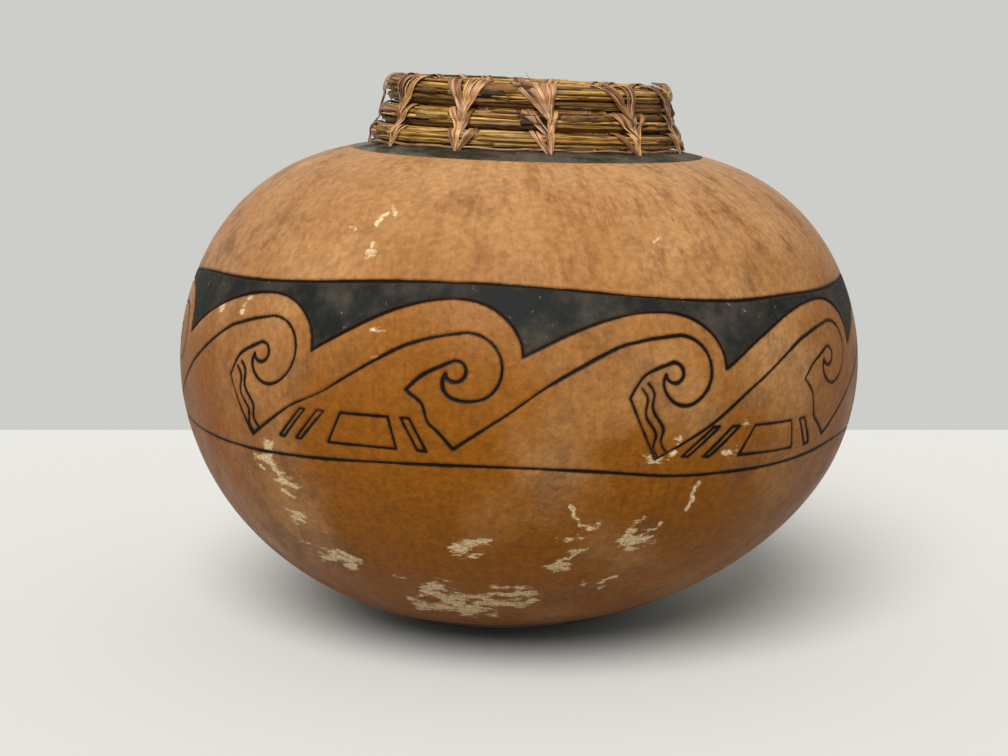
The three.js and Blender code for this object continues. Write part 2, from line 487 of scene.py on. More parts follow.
@dataclass(frozen=True)
class WaveBand:
    """Engraved band: two lines round the gourd with running waves between them, and a blackened sky.

    A wave is drawn in shares of its width and of the band's height, across and up. It rises from its foot
    along a slanting line to its eye, a round line that ends in a hooked beak, and a tail runs from the beak
    to the next foot. Every other tail is jagged with blocks beside it, and the others are rippled.
    """

    valleys: tuple[float, ...] = (-68, -32, 0, 30, 64, 102, 140, 178, 216, 254)
    crest_lifts: tuple[float, ...] = (0.01, -0.01, 0.0, 0.03, 0.01, -0.01, 0.02, 0.0, 0.01, 0.0)
    eye_lifts: tuple[float, ...] = (0.02, -0.05, 0.02, 0.03, 0.0, -0.02, 0.03, 0.01, -0.02, 0.0)
    width_mm: float = 65.0
    height_mm: float = 52.0
    valley_height: float = 0.6
    crest_height: float = 0.92
    crest_at: float = 0.7
    shoulder: Pair = (0.35, 0.61)
    brow: Pair = (0.55, 0.72)
    eye: Pair = (0.755, 0.57)
    eye_turns: Pair = (100, -165)
    eye_radii: Pair = (10.4, 5.6)
    eye_tightening: float = 6.0
    hook: Pair = (0.715, 0.555)
    hook_turns: Pair = (215, 475)
    hook_radius: float = 3.0
    beak_bulge: Pair = (0.57, 0.53)
    jagged_tip: Pair = (0.5, 0.45)
    rippled_tip: Pair = (0.5, 0.4)
    jags: tuple[Pair, ...] = ((0.57, 0.36), (0.6, 0.24), (0.65, 0.18))
    foot_height: float = 0.09
    jagged_foot: float = 0.72
    rippled_foot: float = 0.65
    ripple_offsets: tuple[Pair, ...] = ((0.055, 0.015), (0.085, 0.05))
    ripple_swing: float = 0.014
    block_heights: Pair = (0.26, 0.09)
    block_tilt: float = 0.05
    blocks: tuple[tuple[float, ...], ...] = (
        (-0.05, -0.02, -0.155, -0.185),
        (0.05, 0.09, -0.05, -0.08),
        (0.18, 0.42, 0.46, 0.11),
        (0.48, 0.52, 0.6, 0.56),
    )
    block_middle: float = 0.25
    upper: BandLine = BandLine(121.0, 0.8, 0.0, 2.2, 8.0, (Slip(-85, 14, -5.0), Slip(45, 9, 1.0)))
    lower: BandLine = BandLine(70.0, 0.0, 0.8, 1.5, 3.0, (Slip(63, 16, 3.0), Slip(23, 9, -1.0)))
    crest_lift_top: float = 0.75
    eye_lift_span: Pair = (0.26, 0.45)
    stroke_step: float = 0.15
    share_step: float = 0.0025
    round_points: int = 19
    ripple_points: int = 17
    ripple_turns: int = 2
    crest_points: int = 500
    line_points: int = 6000

    def spiral(self, middle: Pair, turns: Pair, radii: Pair) -> Points:
        """Points of a round line that tightens towards its end.

        Args:
            middle: Its middle, in shares.
            turns: First and last turn in degrees.
            radii: First and last radius in millimetres.

        Returns:
            Its points, in shares.
        """
        share = np.linspace(0.0, 1.0, self.round_points)
        turn = np.radians(turns[0] + (turns[1] - turns[0]) * share)
        radius = radii[0] + (radii[1] - radii[0]) * share**self.eye_tightening
        across, up = radius * np.cos(turn) / self.width_mm, radius * np.sin(turn) / self.height_mm
        return list(zip(middle[0] + across, middle[1] + up))

    def crest(self) -> Array:
        """Draw a wave's crest: a swell to its top and a round fall to the next valley.

        Returns:
            Its points as rows, in shares.
        """
        turn = np.linspace(0.0, math.pi / 2, self.crest_points)
        swell = np.stack([self.crest_at * turn / turn[-1], np.sin(turn)], axis=-1)
        fall = np.stack([self.crest_at + (1.0 - self.crest_at) * np.sin(turn), np.cos(turn)], axis=-1)
        line = np.vstack([swell, fall[1:]])
        line[:, 1] = self.valley_height + (self.crest_height - self.valley_height) * line[:, 1]
        return line

    def ripple(self, offsets: Pair) -> Points:
        """Draw a wavering line beside the straight tail.

        Args:
            offsets: Its distance from the tail at the beak and at the foot, in shares.

        Returns:
            Its points, in shares.
        """
        share = np.linspace(0.0, 1.0, self.ripple_points)
        offset = offsets[0] + (offsets[1] - offsets[0]) * share
        run = self.rippled_tip[0] + (self.rippled_foot - self.rippled_tip[0]) * share + offset
        drop = self.rippled_tip[1] + (self.foot_height - self.rippled_tip[1]) * share + offset
        return list(zip(run + self.ripple_swing * np.sin(self.ripple_turns * TURN * share), drop))

    def tail(self, jagged: bool) -> list[Points]:
        """Draw the lines from the beak down to the foot, and the blocks beside a jagged one.

        Args:
            jagged: Whether the tail is jagged or else rippled.

        Returns:
            The points of each line, in shares.
        """
        if not jagged:
            foot = (self.rippled_foot, self.foot_height)
            return [[self.rippled_tip, foot], *(self.ripple(offsets) for offsets in self.ripple_offsets)]
        lines = [[self.jagged_tip, *self.jags, (self.jagged_foot, self.foot_height)]]
        high, low = self.block_heights
        for block in self.blocks:
            rows = zip(block, (high, high, low, low))
            corners = [(x, height - self.block_tilt * (x - self.block_middle)) for x, height in rows]
            lines += [[a, b] for a, b in zip(corners, [*corners[1:], corners[0]])]
        return lines

    def to_gourd(self, shares: Array, start: float, width: float) -> Array:
        """Turn shares of a wave to places on the gourd.

        Args:
            shares: Rows of shares across and up.
            start: The wave's first azimuth in degrees.
            width: The wave's width in degrees.

        Returns:
            Rows of azimuth in degrees and level.
        """
        azimuth = start + shares[:, 0] * width
        low, high = self.lower.at(azimuth), self.upper.at(azimuth)
        return np.stack([azimuth, low + shares[:, 1] * (high - low)], axis=-1)

    def waves(self) -> list[tuple[float, float, int]]:
        """Start and width of each wave in degrees, and its number."""
        ends = [*self.valleys[1:], self.valleys[0] + 360]
        return [(start, end - start, i) for i, (start, end) in enumerate(zip(self.valleys, ends))]

    def border(self) -> list[Array]:
        """Draw the edges of the blackened sky: the upper line and the crests.

        Returns:
            Each line as rows of azimuth in degrees and level.
        """
        around = np.linspace(0.0, 360.0, self.line_points)
        crests = []
        for start, width, number in self.waves():
            line = self.crest()
            lifted = smoothstep(line[:, 1], self.valley_height, self.crest_lift_top)
            line[:, 1] += self.crest_lifts[number] * lifted
            crests.append(self.to_gourd(line, start, width))
        return [np.stack([around, self.upper.at(around)], axis=-1), *crests]

    def strokes(self) -> list[Array]:
        """Draw all engraved lines that don't edge the sky.

        Returns:
            Each line as rows of azimuth in degrees and level.
        """
        around = np.linspace(0.0, 360.0, self.line_points)
        drawn = [np.stack([around, self.lower.at(around)], axis=-1)]
        for start, width, number in self.waves():
            # The line starts where the tail of the wave before, which is of the other kind, has its foot
            jagged = bool(number % 2)
            reach = self.rippled_foot if jagged else self.jagged_foot
            before = self.waves()[number - 1][1]
            foot = ((reach - 1.0) * before / width, self.foot_height)
            eye = self.spiral(self.eye, self.eye_turns, self.eye_radii)
            hook = self.spiral(self.hook, self.hook_turns, (self.hook_radius, self.hook_radius))
            tip = self.jagged_tip if jagged else self.rippled_tip
            lines = [[foot, self.shoulder, self.brow, *eye], [eye[-1], *hook, self.beak_bulge, tip]]
            lines += self.tail(jagged)
            for points in lines:
                line = smooth_line(points, self.share_step)
                line[:, 1] += self.eye_lifts[number] * smoothstep(line[:, 1], *self.eye_lift_span)
                drawn.append(self.to_gourd(line, start, width))
        return drawn

    def in_sky(self, azimuth: Array, level: Array) -> Array:
        """Tell which places lie in the blackened sky, above the crests and under the upper line.

        Args:
            azimuth: Azimuths in degrees.
            level: Levels.

        Returns:
            Whether each place lies in it.
        """
        first = self.valleys[0]
        turned = (azimuth - first) % 360 + first
        crest_line = np.vstack(self.border()[1:])
        order = np.argsort(crest_line[:, 0])
        crest_level = np.interp(turned, crest_line[order, 0], crest_line[order, 1])
        return (level > crest_level) & (level < self.upper.at(azimuth))


@dataclass(frozen=True)
class WornPatch:
    """A place where the skin has flaked: its middle, its spread, its flakes and their size."""

    azimuth: float
    level: float
    wide: float
    tall: float
    flakes: int
    size: float


@dataclass(frozen=True)
class Crack:
    """A flaked crack: its start, its heading and bend in degrees, and its length."""

    azimuth: float
    level: float
    heading: float
    length: float
    bend: float = 0.0


WORN_PATCHES = (
    WornPatch(-8, 25, 14, 5, 24, 5),
    WornPatch(-42, 66, 4, 4, 8, 3.5),
    WornPatch(-39, 54, 4, 5, 9, 3.5),
    WornPatch(-35, 39, 6, 5, 12, 4),
    WornPatch(-22, 34, 2, 2, 2, 3),
    WornPatch(-8, 46, 6, 4, 9, 3),
    WornPatch(8, 42, 3, 3, 4, 3),
    WornPatch(13, 53, 9, 3, 10, 3),
    WornPatch(23, 49, 6, 3, 9, 3),
    WornPatch(15, 34, 5, 3, 4, 2.5),
    WornPatch(22, 76, 9, 3, 5, 2.5),
    WornPatch(34, 82, 4, 5, 3, 3),
    WornPatch(-25, 105, 8, 4, 4, 2.5),
    WornPatch(-52, 112, 6, 3, 4, 3),
    WornPatch(-26, 131, 1, 1, 1, 3),
    WornPatch(22, 137, 1, 1, 1, 3),
)
CRACKS = (
    Crack(-26, 145, -20, 5),
    Crack(-26, 143, -100, 5),
    Crack(-26, 134, -90, 4),
    Crack(-32, 138, 0, 3),
    Crack(8, 61, -70, 12, 40),
    Crack(19, 47, 20, 12, 20),
    Crack(8, 42, 50, 10, -40),
    Crack(27, 58, 70, 10),
    Crack(18, 32, 40, 5),
)


@dataclass
class Gourd:
    """The gourd shell with its engraved band, black lip ring, stitch holes and worn skin."""

    form: GourdForm = field(default_factory=GourdForm)
    band: WaveBand = field(default_factory=WaveBand)
    sides: int = 180
    rows: int = 112
    outer_share: float = 0.72
    groove_half: float = 0.62
    groove_depth: float = 0.4
    refine_reach: tuple[float, ...] = (3.0, 1.75, 1.05)
    ring_radius: float = 58.5
    ring_front: float = 6.0
    hole_radius: float = 1.45
    hole_depth: float = 3.5
    hole_level: float = -1.0
    hole_edge: Pair = (0.55, 1.1)
    hole_scorch: float = 0.6
    far: float = 30.0
    hidden_patches: int = 14
    hidden_sizes: Pair = (3, 8)
    hidden_azimuths: Pair = (80, 280)
    hidden_levels: Pair = (18, 66)
    hidden_spread: Pair = (5, 3)
    hidden_flakes: int = 3
    flake_widths: Pair = (0.7, 1.4)
    flake_heights: Pair = (0.4, 1.0)
    flake_scatter: float = 1.4
    flake_fade: float = 0.7
    crack_steps: int = 9
    crack_wander: float = 60.0
    seed: int = 7

    def wrap(self, flat: Array) -> tuple[Array, Array, Array]:
        """Wrap the flat sheet's places round the gourd.

        Args:
            flat: Rows with the share of a turn and the share along the outline, from 0 to 1.

        Returns:
            Azimuths in radians, radii and levels.
        """
        outline = self.form.outline()
        run = run_along(outline)
        lip_at = run[np.argmin(np.abs(outline[:, 1] - self.form.crown_level(self.form.mouth_radius)))]
        along = np.interp(flat[:, 1], [0.0, self.outer_share, 1.0], [0.0, lip_at, run[-1]])
        azimuth = flat[:, 0] * TURN - math.pi
        return azimuth, np.interp(along, run, outline[:, 0]), np.interp(along, run, outline[:, 1])

    def tree_of(self, lines: list[Array]) -> kdtree.KDTree:
        """Index the points of engraved lines by their place on the gourd.

        Args:
            lines: Lines as rows of azimuth in degrees and level.

        Returns:
            The index.
        """
        rows = np.vstack(lines)
        places = self.form.settle(np.radians(rows[:, 0]), self.form.outer_radius(rows[:, 1]), rows[:, 1])
        return index_of(places)

    def reach_of(self, tree: kdtree.KDTree, places: Array) -> Array:
        """Distance of each place from the nearest indexed point."""
        return np.array([tree.find(place)[2] for place in places])

    def refine(self, sheet: bpy.types.Object, trees: list[kdtree.KDTree]) -> None:
        """Cut the sheet's faces finer along the engraved lines, the cracks and the holes.

        Args:
            sheet: Flat sheet, with shares of a turn and of the outline as x and y.
            trees: Places to be near.
        """
        bpy.context.tool_settings.mesh_select_mode = (False, False, True)
        for reach in self.refine_reach:
            mesh = sheet.data
            centres = np.empty(len(mesh.polygons) * 3)
            mesh.polygons.foreach_get("center", centres)
            flat = centres.reshape(-1, 3)
            places = self.form.settle(*self.wrap(flat))
            outside = flat[:, 1] < self.outer_share
            near = np.zeros(len(places), bool)
            near[outside] = np.min([self.reach_of(tree, places[outside]) for tree in trees], axis=0) < reach
            with editing(sheet):
                bpy.ops.mesh.select_all(action="DESELECT")
            mesh.polygons.foreach_set("select", near)
            with editing(sheet):
                bpy.ops.mesh.subdivide(number_cuts=1)

    def crack_line(self, crack: Crack, draw: random.Random) -> Array:
        """Draw a crack that wanders as it goes.

        Args:
            crack: Where it starts and how it runs.
            draw: Seeded draws.

        Returns:
            Rows of azimuth in degrees and level.
        """
        azimuth, level, heading = crack.azimuth, crack.level, crack.heading
        points = [(azimuth, level)]
        for _ in range(self.crack_steps):
            heading += crack.bend / self.crack_steps
            turn = math.radians(heading + draw.uniform(-self.crack_wander, self.crack_wander))
            step = crack.length / self.crack_steps
            azimuth += math.degrees(step * math.cos(turn) / float(self.form.outer_radius(level)))
            level += step * math.sin(turn)
            points.append((azimuth, level))
        return smooth_line(points, self.band.stroke_step)

    def scuff_strength(self, azimuth: Array, level: Array) -> Array:
        """Find how strongly the skin is worn, in the patches that show and in hidden ones.

        Args:
            azimuth: Azimuths in radians.
            level: Levels.

        Returns:
            Strengths from 0 to 1.
        """
        draw = random.Random(self.seed)
        patches = list(WORN_PATCHES)
        for _ in range(self.hidden_patches):
            size = draw.uniform(*self.hidden_sizes)
            azimuth_at, level_at = draw.uniform(*self.hidden_azimuths), draw.uniform(*self.hidden_levels)
            patches.append(WornPatch(azimuth_at, level_at, *self.hidden_spread, self.hidden_flakes, size))
        radius = self.form.outer_radius(level)
        strength = np.zeros(len(level))
        for patch in patches:
            for _ in range(patch.flakes):
                wide = patch.size * draw.uniform(*self.flake_widths)
                tall = patch.size * draw.uniform(*self.flake_heights)
                middle = patch.level + draw.uniform(-self.flake_scatter, self.flake_scatter) * patch.tall
                shift = draw.uniform(-self.flake_scatter, self.flake_scatter) * patch.wide
                apart = (azimuth - math.radians(patch.azimuth) + math.pi) % TURN - math.pi
                spread = ((apart * radius - shift) / wide) ** 2 + ((level - middle) / tall) ** 2
                strength = np.maximum(strength, np.exp(-self.flake_fade * spread))
        return strength

    def build(self, rim: "RimFrame", holes: Array) -> bpy.types.Object:
        """Model the shell.

        Args:
            rim: Frame of the rim.
            holes: Rows of rho and azimuth in radians of the stitch holes, in that frame.

        Returns:
            The gourd's object.
        """
        deselect_all()
        bpy.ops.mesh.primitive_grid_add(
            x_subdivisions=self.sides, y_subdivisions=self.rows, size=1.0, location=(0.5, 0.5, 0.0)
        )
        gourd = bpy.context.active_object
        gourd.name = gourd.data.name = "engraved_gourd"
        bpy.ops.object.transform_apply(location=True)
        drilled = index_of(rim.to_world(holes[:, 0], holes[:, 1], np.full(len(holes), self.hole_level)))
        draw = random.Random(self.seed)
        cracks = [self.crack_line(crack, draw) for crack in CRACKS]
        trees = [self.tree_of(lines) for lines in (self.band.border(), self.band.strokes(), cracks)]
        self.refine(gourd, [*trees, drilled])
        flat = corners_of(gourd)
        azimuth, radius, level = self.wrap(flat)
        outside = flat[:, 1] <= self.outer_share + TINY
        places = self.form.settle(azimuth, radius, level)
        edge, line, crack, hole = (
            np.where(outside, self.reach_of(tree, places), self.far) for tree in (*trees, drilled)
        )
        in_sky = self.band.in_sky(np.degrees(azimuth), level) & outside
        place_corners(gourd, places * MM)
        normals = np.empty(len(places) * 3)
        gourd.data.vertices.foreach_get("normal", normals)
        nearest = np.minimum(line, edge)
        sunk = self.groove_depth * np.clip(1.0 - (nearest / self.groove_half) ** 2, 0.0, 1.0)
        hole_low, hole_high = (share * self.hole_radius for share in self.hole_edge)
        sunk = sunk + self.hole_depth * (1.0 - smoothstep(hole, hole_low, hole_high))
        place_corners(gourd, (places - normals.reshape(-1, 3) * sunk[:, None] * self.facing(gourd)) * MM)
        local = rim.from_world(places)
        ring = self.ring_radius + self.ring_front * np.maximum(np.cos(azimuth), 0.0)
        store(gourd, "line", np.minimum(nearest, np.maximum(hole - self.hole_scorch, 0.0)))
        store(gourd, "sky", np.where(in_sky, edge, -edge))
        store(gourd, "ring", np.where(outside, ring - np.hypot(local[:, 0], local[:, 1]), self.far))
        store(gourd, "scuff", self.scuff_strength(azimuth, level) * outside)
        store(gourd, "crack", crack)
        store(gourd, "inside", (~outside).astype(float))
        self.close(gourd)
        shade_smooth(gourd, 50.0)
        return gourd

    def facing(self, gourd: bpy.types.Object) -> float:
        """1 if the mesh's normals point out of the gourd, or else -1."""
        side = max(gourd.data.vertices, key=lambda corner: corner.co.x)
        return 1.0 if side.normal.x > 0 else -1.0

    def close(self, gourd: bpy.types.Object) -> None:
        """Merge the sheet's seam and poles, and turn its faces outwards.

        Args:
            gourd: The gourd's object.
        """
        with editing(gourd):
            bpy.ops.mesh.select_all(action="SELECT")
            bpy.ops.mesh.remove_doubles(threshold=TINY)
        face_outwards(gourd)

    def dress(self, gourd: bpy.types.Object) -> None:
        """Give the gourd its skin and stand it in for its solid.

        Args:
            gourd: The object to dress.
        """
        gourd.data.materials.append(GourdSkin().make())
        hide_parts("gourd_shell")
        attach(gourd, "root")


# Rim


@dataclass(frozen=True)
class RimFrame:
    """Frame of the rim, which stands on the gourd's cut lip and tilts with it."""

    form: GourdForm = field(default_factory=GourdForm)
    front_fall: float = 0.055
    side_fall: float = 0.033

    def matrix(self) -> Array:
        """Find the turn of the rim: the front dip about X, then the side dip about Y.

        Returns:
            The turn as three rows.
        """
        cos_front, sin_front = math.cos(self.form.front_dip), math.sin(self.form.front_dip)
        cos_side, sin_side = math.cos(self.form.side_dip), math.sin(self.form.side_dip)
        about_x = np.array([[1, 0, 0], [0, cos_front, -sin_front], [0, sin_front, cos_front]])
        about_y = np.array([[cos_side, 0, sin_side], [0, 1, 0], [-sin_side, 0, cos_side]])
        return about_x @ about_y

    def origin(self) -> Array:
        """Middle of the lip."""
        level = self.form.crown_level(self.form.mouth_radius)
        return np.array([float(self.form.lean_at(np.array(level))), 0.0, level])

    def to_world(self, rho: Array, azimuth: Array, w: Array) -> Array:
        """Turn places in the rim's frame to the vase's.

        The rows are a little lower at the front and on the right than at the back and on the left.

        Args:
            rho: Distances from the rim's axis.
            azimuth: Azimuths in radians.
            w: Heights above the lip.

        Returns:
            Rows of x, y and z.
        """
        fall = self.front_fall * np.cos(azimuth) + self.side_fall * np.sin(azimuth)
        height = np.where(w > 0, w * (1.0 - fall), w)
        local = np.stack([rho * np.sin(azimuth), -rho * np.cos(azimuth), height], axis=-1)
        return local @ self.matrix().T + self.origin()

    def from_world(self, places: Array) -> Array:
        """Rows of the rim's own x, y and height."""
        return (places - self.origin()) @ self.matrix()


@dataclass(frozen=True)
class CoilRow:
    """One row of the needle coil, with its needles in rings of lanes at a share of its radius."""

    thickness: float
    outer_radius: float
    rings: tuple[tuple[int, float], ...]


@dataclass(frozen=True)
class Needle:
    """One needle's place along the coil and round its bundle, its size and shade, and how it wanders."""

    start: float
    length: float
    lane: float
    reach: float
    radius: float
    tone: float
    sheath: float = 0.0
    sway: float = 0.0
    twist: float = 0.0
    phase: float = 0.0
    lift: float = 0.0
    flare: float = 0.0


@dataclass(frozen=True)
class Sheath:
    """A papery sheath on a bundle's outside: its middle's azimuth, row and lane, its size and its shade."""

    azimuth: float
    row: int
    lane: float
    length: float
    radius: float
    tone: float


@dataclass(frozen=True)
class Fray:
    """A frayed end of needles: its azimuth, row and lane in degrees, its fibres and their shade."""

    azimuth: float
    row: int
    lane: float
    fibres: int
    tone: float


OUTER_SHEATHS = (
    Sheath(-8, 2, 46, 18, 1.9, 0.5),
    Sheath(-15, 2, 6, 9, 1.15, 0.05),
    Sheath(20, 1, 34, 16, 1.3, 0.45),
    Sheath(-42, 2, 8, 7, 1.05, 0.25),
    Sheath(-39, 1, 16, 14, 1.3, 0.95),
    Sheath(-0.5, 1, 34, 7, 1.25, 0.16),
    Sheath(0.5, 1, -10, 7, 1.25, 0.1),
    Sheath(58, 0, 20, 12, 1.2, 0.4),
    Sheath(-66, 0, 25, 11, 1.3, 0.6),
    Sheath(150, 2, 30, 16, 1.8, 0.5),
    Sheath(200, 1, 20, 14, 1.4, 0.3),
    Sheath(232, 2, 5, 9, 1.5, 0.1),
)
FRAYED_ENDS = (
    Fray(3, 1, 32, 46, 0.06),
    Fray(4, 1, -10, 40, 0.06),
    Fray(-11, 2, 8, 26, 0.12),
    Fray(28, 1, 38, 22, 0.95),
    Fray(66, 2, 12, 80, 0.1),
    Fray(70, 1, 8, 50, 0.05),
    Fray(-70, 2, 15, 34, 0.3),
    Fray(-80, 1, -8, 26, 0.2),
    Fray(-32, 1, 20, 18, 0.9),
    Fray(158, 2, 30, 30, 0.2),
    Fray(207, 1, 20, 36, 0.1),
    Fray(236, 2, 5, 24, 0.3),
)


@dataclass
class NeedleCoil:
    """Pine needles laid along one coil of three rows, with their papery sheaths and frayed ends."""

    rim: RimFrame = field(default_factory=RimFrame)
    rows: tuple[CoilRow, ...] = (
        CoilRow(5.3, 52.8, ((8, 0.70), (2, 0.2))),
        CoilRow(6.3, 49.7, ((10, 0.75), (4, 0.3))),
        CoilRow(8.6, 48.4, ((14, 0.81), (8, 0.5), (3, 0.15))),
    )
    seat_gap: float = 0.35
    row_gap: float = 0.3
    least_radius: float = 0.25
    climb_end: float = math.radians(103)
    climb: float = math.radians(25)
    mean_rho: float = 48.0
    needle_radius: float = 0.8
    stations: int = 28
    section: int = 9
    fine_stations: int = 6
    fine_section: int = 3
    lobe: float = 0.13
    taper: float = 0.45
    taper_power: int = 3
    lift_powers: tuple[int, int] = (8, 10)
    flare_power: float = 1.5
    tip_end: Pair = (0.35, 9.0)
    root_end: Pair = (0.55, 25.0)
    dark_tip: float = 0.93
    sheath_swell: float = 0.12
    sheath_ripple: float = 0.08
    sheath_pace: float = 1.1
    sheath_blunting: float = 0.8
    sheath_power: int = 8
    sheath_bedding: float = 0.75
    stray_bedding: float = 0.6
    strays: int = 16
    lane_starts: Pair = (0.05, 1.6)
    lane_ends: Pair = (0.0, 0.25)
    needle_spans: Pair = (1.5, 3.2)
    needle_overlaps: Pair = (0.1, 0.3)
    overrun: float = 0.25
    early_start: float = 0.32
    shortest: float = 17.0
    seed: int = 21

    def section_at(self, angle: Array) -> tuple[Array, Array, Array]:
        """Middle and radius of the bundle at angles counted on from the start of the first row.

        Args:
            angle: Angles in radians.

        Returns:
            The bundle's rho, w and radius.
        """
        under = [self.seat_gap]
        for row in self.rows:
            under.append(under[-1] + row.thickness + self.row_gap)
        outer = [row.outer_radius for row in self.rows] + [self.rows[-1].outer_radius]

        def step(at: Array) -> tuple[Array, Array]:
            """Find how high and wide the coil has come.

            Args:
                at: Angles in radians.

            Returns:
                Its underside and its outer radius.
            """
            row = np.clip(np.floor(at / TURN), 0, len(self.rows) - 1).astype(int)
            rise = smoothstep(at - row * TURN, TURN - self.climb, TURN)
            low, high = np.take(under, row), np.take(under, row + 1)
            near, far = np.take(outer, row), np.take(outer, row + 1)
            return low + (high - low) * rise, near + (far - near) * rise

        underside, outer_radius = step(angle)
        top = step(np.minimum(angle + TURN, len(self.rows) * TURN))[0] - self.row_gap
        radius = np.maximum((top - underside) / 2, self.least_radius)
        return outer_radius - radius, underside + radius, radius

    def bundle(self, row: int) -> tuple[float, float, float]:
        """Middle and radius of a row's bundle, away from the climb: rho, w and radius."""
        return tuple(float(value[0]) for value in self.section_at(np.array([row * TURN + math.pi])))

    def angle(self, row: int, azimuth: float) -> float:
        """Angle along the coil of an azimuth in degrees in a row."""
        return row * TURN + (math.radians(azimuth) - self.climb_end) % TURN

    def master(self, stations: int, section: int) -> bpy.types.Object:
        """Model one straight needle: a tube of unit length and radius with closed, pointed ends.

        Args:
            stations: Rings of points along it.
            section: Points round it.

        Returns:
            The needle along X, from 0 to 1.
        """
        deselect_all()
        bpy.context.tool_settings.mesh_select_mode = (True, False, False)
        bpy.ops.mesh.primitive_circle_add(vertices=section, radius=1.0, rotation=(0, math.pi / 2, 0))
        needle = bpy.context.active_object
        bpy.ops.object.transform_apply(rotation=True)
        step = 1.0 / (stations - 1)
        with editing(needle):
            for _ in range(stations - 1):
                bpy.ops.mesh.extrude_region_move(TRANSFORM_OT_translate={"value": (step, 0, 0)})
            bpy.ops.mesh.merge(type="CENTER")
        for corner in needle.data.vertices:
            corner.select = corner.co.x < step / 2
        with editing(needle):
            bpy.ops.mesh.merge(type="CENTER")
        face_outwards(needle)
        return needle

    def thickness(self, needle: Needle, along: Array) -> Array:
        """Find a needle's radius: it tapers, swells in its sheath, and has rounded ends.

        Args:
            needle: The needle, which is all sheath if its sheath is longer than it.
            along: Shares along it.

        Returns:
            The radius at each share.
        """
        run = along * needle.length
        ripple = self.sheath_ripple * np.sin(self.sheath_pace * run + needle.phase)
        tapered = self.taper * along**self.taper_power * (needle.sheath < needle.length)
        thick = needle.radius * (1.0 - tapered)
        thick = thick * (1.0 + (run < needle.sheath) * (self.sheath_swell + ripple))
        if needle.sheath > needle.length:
            return thick * np.sqrt(1.0 - self.sheath_blunting * (2 * along - 1) ** self.sheath_power)
        for (least, slope), share in ((self.tip_end, 1 - along), (self.root_end, along)):
            thick = thick * np.minimum(1.0, least + share * slope)
        return thick

    def lay(self, master: bpy.types.Object, needle: Needle) -> bpy.types.Object:
        """Lay a copy of the straight needle along the coil.

        Args:
            master: The straight needle.
            needle: Where and how it lies.

        Returns:
            The laid needle.
        """
        copy = copy_of(master, "needle")
        along, turn, off_axis = unrolled(copy)
        angle = needle.start + along * needle.length / self.mean_rho
        rho, w, radius = self.section_at(angle)
        lane = needle.lane + needle.sway * np.sin(along * math.pi + needle.phase) + needle.twist * along
        tip_power, root_power = self.lift_powers
        ends = along**tip_power + (1 - along) ** root_power
        reach = needle.reach * radius + needle.lift * ends + needle.flare * along**self.flare_power
        run = along * needle.length
        sheathed = run < needle.sheath
        lobed = np.where(off_axis, 1.0 + self.lobe * np.cos(3 * turn), 0.0)
        across = self.thickness(needle, along) * lobed
        places = self.rim.to_world(
            rho + reach * np.cos(lane) + across * np.cos(turn + lane),
            self.climb_end + angle,
            w + reach * np.sin(lane) + across * np.sin(turn + lane),
        )
        place_corners(copy, places * MM)
        store(copy, "tone", np.full(len(along), needle.tone))
        store(copy, "run", run)
        store(copy, "around", turn)
        store(copy, "sheath", sheathed.astype(float))
        store(copy, "tip", smoothstep(along, self.dark_tip, 1.0) * ~sheathed)
        return copy

    def plan(self) -> list[Needle]:
        """Choose where every needle lies: lanes round each row's bundle, each with needle after needle.

        Returns:
            The needles, the strays and the sheaths.
        """
        draw = random.Random(self.seed)
        needles = []
        for number, row in enumerate(self.rows):
            first, last = number * TURN, (number + 1) * TURN
            for lanes, reach in row.rings:
                for lane in range(lanes):
                    at = first - draw.uniform(*self.lane_starts)
                    end = last - draw.uniform(*self.lane_ends)
                    while at < end:
                        span = min(draw.uniform(*self.needle_spans), end - at + self.overrun)
                        begin = max(at, first - self.early_start)
                        length = (at + span - begin) * self.mean_rho
                        if length > self.shortest:
                            needles.append(self.needle(draw, begin, length, lane / lanes, reach))
                        at += span - draw.uniform(*self.needle_overlaps)
            needles += [self.stray(draw, row, number) for _ in range(self.strays)]
        return needles + [self.sheath(sheath) for sheath in OUTER_SHEATHS]

    def needle(
        self, draw: random.Random, start: float, length: float, share: float, reach: float
    ) -> Needle:
        """Choose how one needle of a lane lies.

        Args:
            draw: Seeded draws.
            start: Its angle along the coil.
            length: Its length.
            share: Share of the way round the bundle.
            reach: Share of the bundle's radius.

        Returns:
            The needle.
        """
        return Needle(
            start=start,
            length=length,
            lane=share * TURN + draw.uniform(-0.12, 0.12),
            reach=reach * draw.uniform(0.93, 1.02),
            radius=self.needle_radius * draw.uniform(0.78, 1.14),
            tone=draw.uniform(0.1, 1.0),
            sheath=draw.choice([0.0, 0.0, 14.0, 19.0]),
            sway=draw.uniform(-0.17, 0.17),
            twist=draw.uniform(-0.22, 0.22),
            phase=draw.uniform(0, TURN),
            lift=draw.choice([0.0, 0.0, 0.15, 0.35]),
        )

    def stray(self, draw: random.Random, row: CoilRow, number: int) -> Needle:
        """Choose how a thin single needle lies on a bundle's outside.

        Args:
            draw: Seeded draws.
            row: The coil's row.
            number: The row's number.

        Returns:
            The needle.
        """
        thin = draw.uniform(0.28, 0.5)
        return Needle(
            start=number * TURN + draw.uniform(0.0, 4.4),
            length=draw.uniform(30, 75),
            lane=draw.uniform(-1.3, 1.9),
            reach=1.0 - self.stray_bedding * thin / (row.thickness / 2),
            radius=thin,
            tone=draw.uniform(0.05, 1.0),
            sway=draw.uniform(-0.3, 0.3),
            twist=draw.uniform(-0.6, 0.6),
            phase=draw.uniform(0, TURN),
            lift=draw.uniform(0.0, 0.35),
        )

